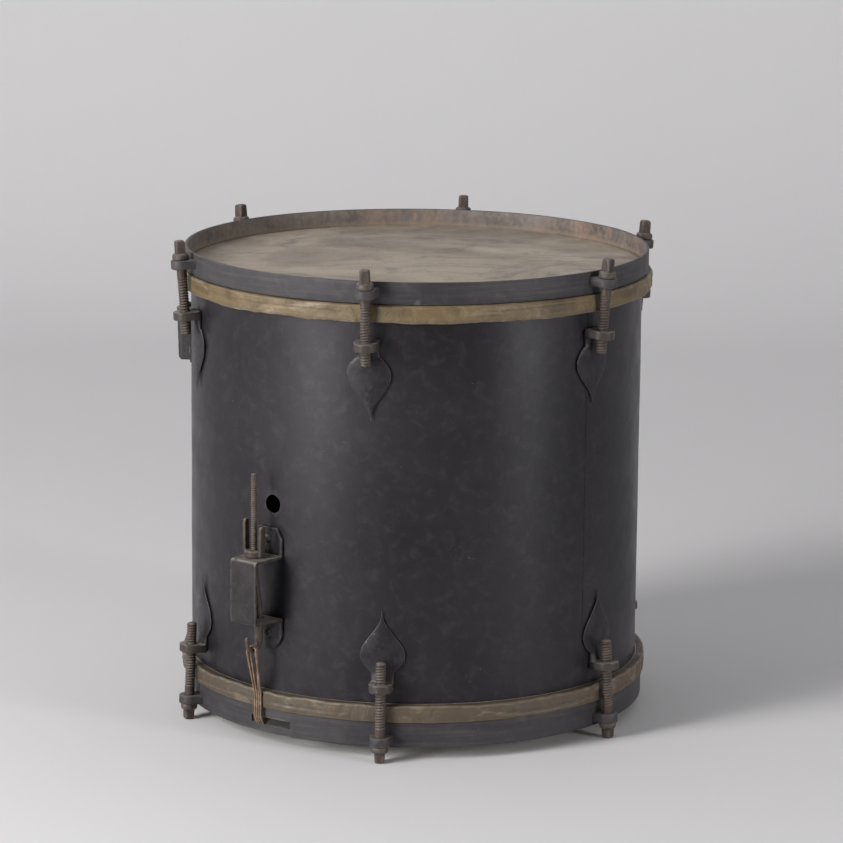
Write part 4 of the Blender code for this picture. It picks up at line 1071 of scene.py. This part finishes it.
def make_strainer_hook():
    """Threaded rod, swelling shank and tapered hook in one forging, built round the rod."""
    shoulder = BRACKET_HIGH - STRAP - SHANK_TRAVEL_ROOM
    top = BRACKET_HIGH + ROD_RISE
    rows = threaded(shoulder + HOOK_SHOULDER - 0.001, top - 0.0012, ROD_RADIUS,
                    ROD_THREAD_DEPTH, ROD_PITCH, 0.001)
    rows += [(top - 0.0011, ROD_RADIUS * 0.92), (top - 0.0004, ROD_RADIUS * 0.8),
             (top, ROD_RADIUS * 0.5)]
    bm = bmesh.new()
    turned_bar(bm, rows)
    start, foot = shoulder - HOOK_SHOULDER, BRACKET_LOW + STRAP
    stations = [(0, shoulder + HOOK_SHOULDER, ROD_RADIUS * 0.9),
                (0, shoulder, HOOK_SHANK_RADIUS * 0.9), (0, start, HOOK_SHANK_RADIUS)]
    stations += [(-HOOK_SHANK_SWAY * eased(k / 14), start + (foot - start) * k / 14,
                  HOOK_SHANK_RADIUS) for k in range(1, 15)]
    across = HOOK_BEND_RADIUS - HOOK_SHANK_SWAY
    level = BRACKET_LOW - HOOK_DROP + HOOK_BEND_RADIUS
    stations += [(-HOOK_SHANK_SWAY, foot - (foot - level) * k / 5, HOOK_SHANK_RADIUS)
                 for k in range(1, 5)]
    for share in (k / 24 for k in range(25)):
        a = math.pi + math.pi * share
        radius = HOOK_SHANK_RADIUS + (HOOK_WAIST_RADIUS - HOOK_SHANK_RADIUS) * min(1, 2 * share)
        radius += (HOOK_TIP_RADIUS - HOOK_WAIST_RADIUS) * max(0, share - 0.5)
        stations.append((across + HOOK_BEND_RADIUS * math.cos(a),
                         level + HOOK_BEND_RADIUS * math.sin(a), radius))
    for share, width in ((0.35, 1.25), (0.7, 1.1), (0.92, 0.95), (1.0, 0.5)):
        stations.append((across + HOOK_BEND_RADIUS + HOOK_TIP_FLARE * share,
                         level + HOOK_TIP_RISE * share, HOOK_TIP_RADIUS * width))
    tube(bm, stations)
    hook = make_piece("rod_and_hook", bm, SCREW_IRON, 55)
    hook.matrix_world = about_axis(STRAINER_TURN) @ Matrix.Translation((ROD_SHIFT, -ROD_AXIS, 0))
    stand_in_for(hook, "strainer_hook", "hook")


def make_wing_nut():
    """A round nut with two upright finger arms of unlike height, forged in one."""
    bm = bmesh.new()
    loft(bm, [disc(NUT_BASE_RADIUS - NUT_EDGE, 0, 32), disc(NUT_BASE_RADIUS, NUT_EDGE, 32),
              disc(NUT_BASE_RADIUS, NUT_BASE - NUT_EDGE, 32),
              disc(NUT_BASE_RADIUS - NUT_EDGE, NUT_BASE, 32)])
    across, deep = NUT_ARM_WIDTH / 2, NUT_ARM / 2
    for way, tall in ((-1, NUT_TALL_ARM), (1, NUT_SHORT_ARM)):
        middle = way * (NUT_LENGTH / 2 - deep)
        spans = [(NUT_EDGE + (tall - across - NUT_EDGE) * k / 6, across) for k in range(7)]
        for k in range(1, 7):
            a = math.pi / 2 * k / 6.3
            spans.append((tall - across + across * math.sin(a), across * math.cos(a)))
        rings = []
        for level, width in spans:
            lean = middle + way * 0.0004 * (level / tall)
            ring = fillet([(lean - deep, -width), (lean + deep, -width),
                           (lean + deep, width), (lean - deep, width)], [NUT_EDGE] * 4)
            rings.append([(x, y, level) for x, y in ring])
        loft(bm, rings)
    nut = make_piece("finger_nut", bm, SCREW_IRON)
    forge(nut, NUT_VOXEL)
    drill(nut, [(ROD_RADIUS + 0.0001, -NUT_ARM, NUT_BASE * 1.5, Matrix())], 50)
    spot = about_axis(STRAINER_TURN) @ Vector((ROD_SHIFT, -ROD_AXIS, 0))
    spot.z = BRACKET_HIGH + GAP
    nut.matrix_world = Matrix.Translation(spot) @ about_axis(NUT_TURN)
    stand_in_for(nut, "wing_nut", "nut")


def carry_section(reach, level):
    """The hat-shaped section of the loop at one level, flanges bent to the shell."""
    outer = SEAT + CARRY_STRAP
    far = SHELL_RADIUS + reach
    half, wall, corner = CARRY_HALF_WIDTH, CARRY_STRAP, CARRY_CORNER
    root = math.asin(half / outer)
    end = root + CARRY_FLANGE / SEAT
    inside = math.asin((half - wall) / SEAT)
    side = [polar(SEAT, end, level), polar(outer, end, level),
            polar(outer, (end + root) / 2, level), polar(outer, root, level),
            Vector((half, -(far - corner), level)),
            Vector((half - corner * 0.3, -(far - corner * 0.3), level)),
            Vector((half - corner, -far, level))]
    within = [Vector((half - wall, -(far - wall), level)), polar(SEAT, inside, level),
              polar(SEAT, (end + root) / 2, level)]
    mirrored = [[Vector((-point.x, point.y, point.z)) for point in reversed(row)]
                for row in (side, within)]
    return side + mirrored[0] + mirrored[1] + within


def make_carry_bracket():
    """The loop that takes the sling's hook, narrower and rounded at its foot."""
    low = CARRY_HIGH - CARRY_HEIGHT
    drop = low + CARRY_END_ROUND - CARRY_HIGH
    sections = [carry_section(CARRY_REACH - CARRY_TAPER * k / 16, CARRY_HIGH + drop * k / 16)
                for k in range(17)]
    for back, rise in ((0.12, 0.0016), (0.35, 0.0008), (0.8, 0.0)):
        sections.append(carry_section(CARRY_REACH - CARRY_TAPER - CARRY_END_ROUND * back,
                                      low + rise))
    bm = bmesh.new()
    loft(bm, [[here.lerp(ahead, j / 5) for here, ahead in zip(ring, ring[1:] + ring[:1])
               for j in range(5)] for ring in sections])
    bracket = make_piece("sling_loop", bm, STRAP_IRON)
    soften(bracket, STRAP_EDGE)
    bracket.matrix_world = about_axis(CARRY_TURN)
    stand_in_for(bracket, "carry_bracket", "drum")


def make_rivets():
    """Domed rivet heads, hammered a little out of round."""
    butt_high = BUTT_LOW + BUTT_PLATE - BUTT_RIVET_INSET
    side = math.degrees(math.asin(CARRY_HALF_WIDTH / SEAT) + CARRY_FLANGE * 0.55 / SHELL_RADIUS)
    carry_levels = (CARRY_HIGH - CARRY_RIVET_INSET,
                    CARRY_HIGH - CARRY_HEIGHT + CARRY_RIVET_INSET)
    rows = {"strainer": (STRAP, [(STRAINER_TURN, BRACKET_HIGH + UPPER_RIVET_RISE),
                                 (STRAINER_TURN, BRACKET_LOW - LOWER_RIVET_DROP)]),
            "snare_butt": (BUTT_STRAP, [(BUTT_TURN, butt_high),
                                        (BUTT_TURN, butt_high - BUTT_RIVET_SPACING)]),
            "carry_bracket": (CARRY_STRAP, [(CARRY_TURN + way * side, level)
                                            for way in (-1, 1) for level in carry_levels])}
    for owner, (thickness, spots) in rows.items():
        seat = SEAT + thickness + GAP * 0.3
        for k, (turn, level) in enumerate(spots, start=1):
            rings = [disc(RIVET_HEAD_RADIUS * 0.5, seat - 0.004, 20),
                     disc(RIVET_HEAD_RADIUS * 0.5, seat - 0.0004, 20)]
            for a in (math.pi / 2 * j / 6.4 for j in range(7)):
                size = RIVET_HEAD_RADIUS * math.cos(a) ** 0.8
                ring = []
                for x, y, z in disc(size, seat + RIVET_HEAD_HEIGHT * math.sin(a), 20):
                    lump = 1 + 0.05 * noise.noise(Vector((x * 500, y * 500, level * 90)))
                    ring.append((x * lump, y * lump, z))
                rings.append(ring)
            bm = bmesh.new()
            loft(bm, rings, radial(turn, level))
            node = f"{owner}_rivet_{k}"
            rivet = make_piece(node + "_head", bm, STRAP_IRON, 50)
            stand_in_for(rivet, node, "drum")


# ---- gut snare ----


def gut_run():
    """A strand's route in a radial plane, from under the head to the top of the lap."""
    band = BAND_RADIUS + GUT_RADIUS + GUT_GAP
    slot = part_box("bottom_counterhoop")[0].z + SLOT_LEVEL + GUT_RADIUS + GUT_GAP
    under = LOW - GAP - SKIN - GUT_RADIUS - GUT_GAP
    lap_low = LOW + LAP_INSET
    return [(HOOP_INNER - GUT_LIFT_OFF, under), (HOOP_INNER - GUT_LIFT_OFF / 2, (under + slot) / 2),
            (HOOP_INNER, slot), (HOOP_OUTER + GUT_RADIUS, slot), (band, (slot + lap_low) / 2),
            (band, lap_low), (band, lap_low + FLESH_HOOP_HEIGHT)]


def gut_loop(rank):
    """Points of one closed loop: over the hook, under the head and over the butt."""
    run = gut_run()
    band, lap = run[-1]
    half = GUT_PITCH * (0.5 + rank)
    off = (rank - 0.5) * GUT_HOOK_SPACING
    loose = GUT_RADIUS + 2 * GUT_GAP + rank * GUT_SPREAD

    def rise(facing, shift, level, across, wide, end, shares):
        """Both strands up to a holder, and a way to place points round that holder."""
        def place(out, side, height):
            share = max(0.0, min(1.0, (height - lap) / (level - lap)))
            middle = GUT_SHIFT + (shift - GUT_SHIFT) * share
            return about_axis(STRAINER_TURN) @ Vector((middle + side, facing * out, height))

        strands = [[place(out, way * half, height) for out, height in run]
                   + [place(band + (across - band) * t, way * (half + (wide - half) * t),
                            lap + (end - lap) * t) for t in shares] for way in (-1, 1)]
        return *strands, place

    saddle = BRACKET_LOW - HOOK_DROP + HOOK_WAIST_RADIUS + GUT_RADIUS + 2 * GUT_GAP
    across = SHANK_AXIS + HOOK_BEND_RADIUS + off
    wide = HOOK_WAIST_RADIUS + loose
    left, right, front = rise(-1, ROD_SHIFT, saddle, across, wide, saddle - 2 * GUT_ARCH,
                              (0.35, 0.7, 1.0))
    arch = [front(across, -wide * math.cos(a), saddle - GUT_ARCH + GUT_ARCH * math.sin(a))
            for a in (math.pi * k / 6 for k in range(1, 6))]

    saddle = BUTT_LOW + BUTT_STRAP / 2 + GUT_RADIUS + GUT_GAP
    across = SEAT + BUTT_STRAP / 2 + BUTT_HOOK_DEPTH / 2 + off
    wide = BUTT_HALF_WIDTH + loose
    far_left, far_right, rear = rise(1, 0.0, BUTT_LOW, across, wide, BUTT_LOW - GUT_BUTT_DROP,
                                     (0.5, 1.0))
    over = [[rear(across, way * (wide - GUT_TURN_OVER * back), saddle - GUT_TURN_OVER * down)
             for back, down in ((0.0, 1.0), (0.25, 0.4), (0.8, 0.0))] for way in (1, -1)]
    return (left + arch + right[::-1] + far_right + over[0] + over[1][::-1]
            + far_left[::-1])


def smooth_loop(points):
    """A closed curve through the points, straight on its long runs."""
    count = len(points)
    dense = []
    for k in range(count):
        a, b, c, d = (points[(k + j) % count] for j in (-1, 0, 1, 2))
        span = (c - b).length
        parts = max(1, math.ceil(span / GUT_STEP))
        m0 = m1 = c - b
        if span < GUT_STRAIGHT:
            m0 = (c - a) * 0.25 * min(1.0, span / max((b - a).length, 1e-6))
            m1 = (d - b) * 0.25 * min(1.0, span / max((d - c).length, 1e-6))
        for t in (j / parts for j in range(parts)):
            dense.append(b * (2 * t ** 3 - 3 * t ** 2 + 1) + m0 * (t ** 3 - 2 * t ** 2 + t)
                         + c * (-2 * t ** 3 + 3 * t ** 2) + m1 * (t ** 3 - t ** 2))
    return dense


def make_gut_snare():
    """Loops of two-ply twisted gut."""
    for rank in range(2):
        path = smooth_loop(gut_loop(rank))
        normal = Vector((0, 0, 1))
        run = 0.0
        rings = []
        for k, point in enumerate(path):
            along = (path[(k + 1) % len(path)] - path[k - 1]).normalized()
            normal = (normal - along * normal.dot(along)).normalized()
            other = along.cross(normal)
            run += (point - path[k - 1]).length if k else 0.0
            ring = []
            for a in around(GUT_SIDES):
                ply = 0.86 + 0.14 * abs(math.cos(a - run / PLY_LENGTH * math.pi))
                ring.append(point + (normal * math.cos(a) + other * math.sin(a))
                            * GUT_RADIUS * ply)
            rings.append(ring)
        bm = bmesh.new()
        loft(bm, rings, closed=True)
        gut = make_piece(f"gut_loop_{rank + 1}", bm, TWISTED_GUT, 70)
        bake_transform(gut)
        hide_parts(f"gut_snare_{rank + 1}")


# ---- studio ----


def make_camera():
    """The photograph's camera, as its fitted place and turns."""
    data = bpy.data.cameras.new("photo_camera")
    data.sensor_width = SENSOR
    data.lens = SENSOR * PHOTO_FOCAL / PHOTO_WIDTH
    data.clip_start = 0.05
    data.clip_end = 60.0
    camera = put("photo_camera", data)
    matrix = Matrix.Translation(CAMERA_PLACE)
    for turn, axis in CAMERA_TURNS:
        matrix = matrix @ Matrix.Rotation(math.radians(turn), 4, axis)
    camera.matrix_world = matrix
    bpy.context.scene.camera = camera


def make_sweep():
    """A pale paper sweep, floor and backdrop in one. Views from behind look over its foot."""
    line = [(SWEEP_FRONT, 0.0), (SWEEP_START, 0.0)]
    for k in range(1, 13):
        a = math.pi / 2 * k / 12
        line.append((SWEEP_START + SWEEP_CURVE * math.sin(a),
                     SWEEP_CURVE - SWEEP_CURVE * math.cos(a)))
    line.append((SWEEP_START + SWEEP_CURVE, SWEEP_TOP))
    f = Finish("paper_sweep", (0.655, 0.648, 0.655))
    # Painted light: the paper is painted paler towards the back, a painted brightening of the
    # backdrop; the noise laid with it is random tone.
    depth = f.between(f.axis("Y"), 0.3, 2.6, 0.0, 0.9)
    f.coat((0.855, 0.847, 0.856), f.maths("MULTIPLY_ADD", f.noise(3.0, 3.0), 0.1, depth))
    f.relief(f.noise(500.0, 3.0), 0.05, 0.0005)
    finish = f.done(0.9)
    for name, part in (("paper_sweep", line[:SWEEP_FOOT]), ("paper_wall", line[SWEEP_FOOT - 1:])):
        bm = bmesh.new()
        near, far = ([bm.verts.new((x, y, z)) for y, z in part]
                     for x in (-SWEEP_HALF_WIDTH, SWEEP_HALF_WIDTH))
        for k in range(len(part) - 1):
            bm.faces.new((near[k], far[k], far[k + 1], near[k + 1]))
        sheet = make_piece(name, bm, finish)
        sheet.visible_camera = name == "paper_sweep"


def make_lights():
    """Three soft lamps, and a room that is bright behind the drum and dark behind the camera."""
    for name, place, size, power, colour in LIGHTS:
        data = bpy.data.lights.new(name, "AREA")
        data.shape = "RECTANGLE"
        data.size, data.size_y = size
        data.energy = power
        data.color = colour
        light = put(name, data)
        light.location = place
        aim = LIGHTS_AIM - Vector(place)
        light.rotation_euler = aim.to_track_quat("-Z", "Y").to_euler()
    world = bpy.data.worlds.new("studio")
    world.use_nodes = True
    room = Nodes(world.node_tree, "Generated")
    ahead = room.maths("MULTIPLY_ADD", room.maths("ABSOLUTE", room.axis("X")), -0.3,
                       room.axis("Y"))
    background = world.node_tree.nodes["Background"]
    room.plug(background.inputs["Strength"],
              room.between(ahead, -0.9, 0.9, 0.04, 1.02, kind="LINEAR"))
    room.plug(background.inputs["Color"], (0.98, 0.975, 1.0))
    bpy.context.scene.world = world
    bpy.context.scene.view_settings.view_transform = "Standard"


make_camera()
make_sweep()
make_lights()
make_shell()
make_head("batter_head", "top", HIGH, 1, 31.0)
make_head("snare_head", "bottom", LOW, -1, 57.0)
make_counterhoop("top", 1)
make_counterhoop("bottom", -1, (STRAINER_TURN + FRONT_SLOT_OFFSET, BUTT_TURN))
for end_name, direction in (("top", 1), ("bottom", -1)):
    make_screws(end_name)
    make_lugs(end_name, direction)
make_strainer_bracket()
make_strainer_hook()
make_wing_nut()
make_snare_butt()
make_carry_bracket()
make_rivets()
make_gut_snare()
for hoop_name in ("batter_flesh_hoop", "snare_flesh_hoop"):
    flesh_hoop = frame["nodes"][hoop_name]
    flesh_hoop.data.materials.clear()
    flesh_hoop.data.materials.append(PLAIN_WOOD)
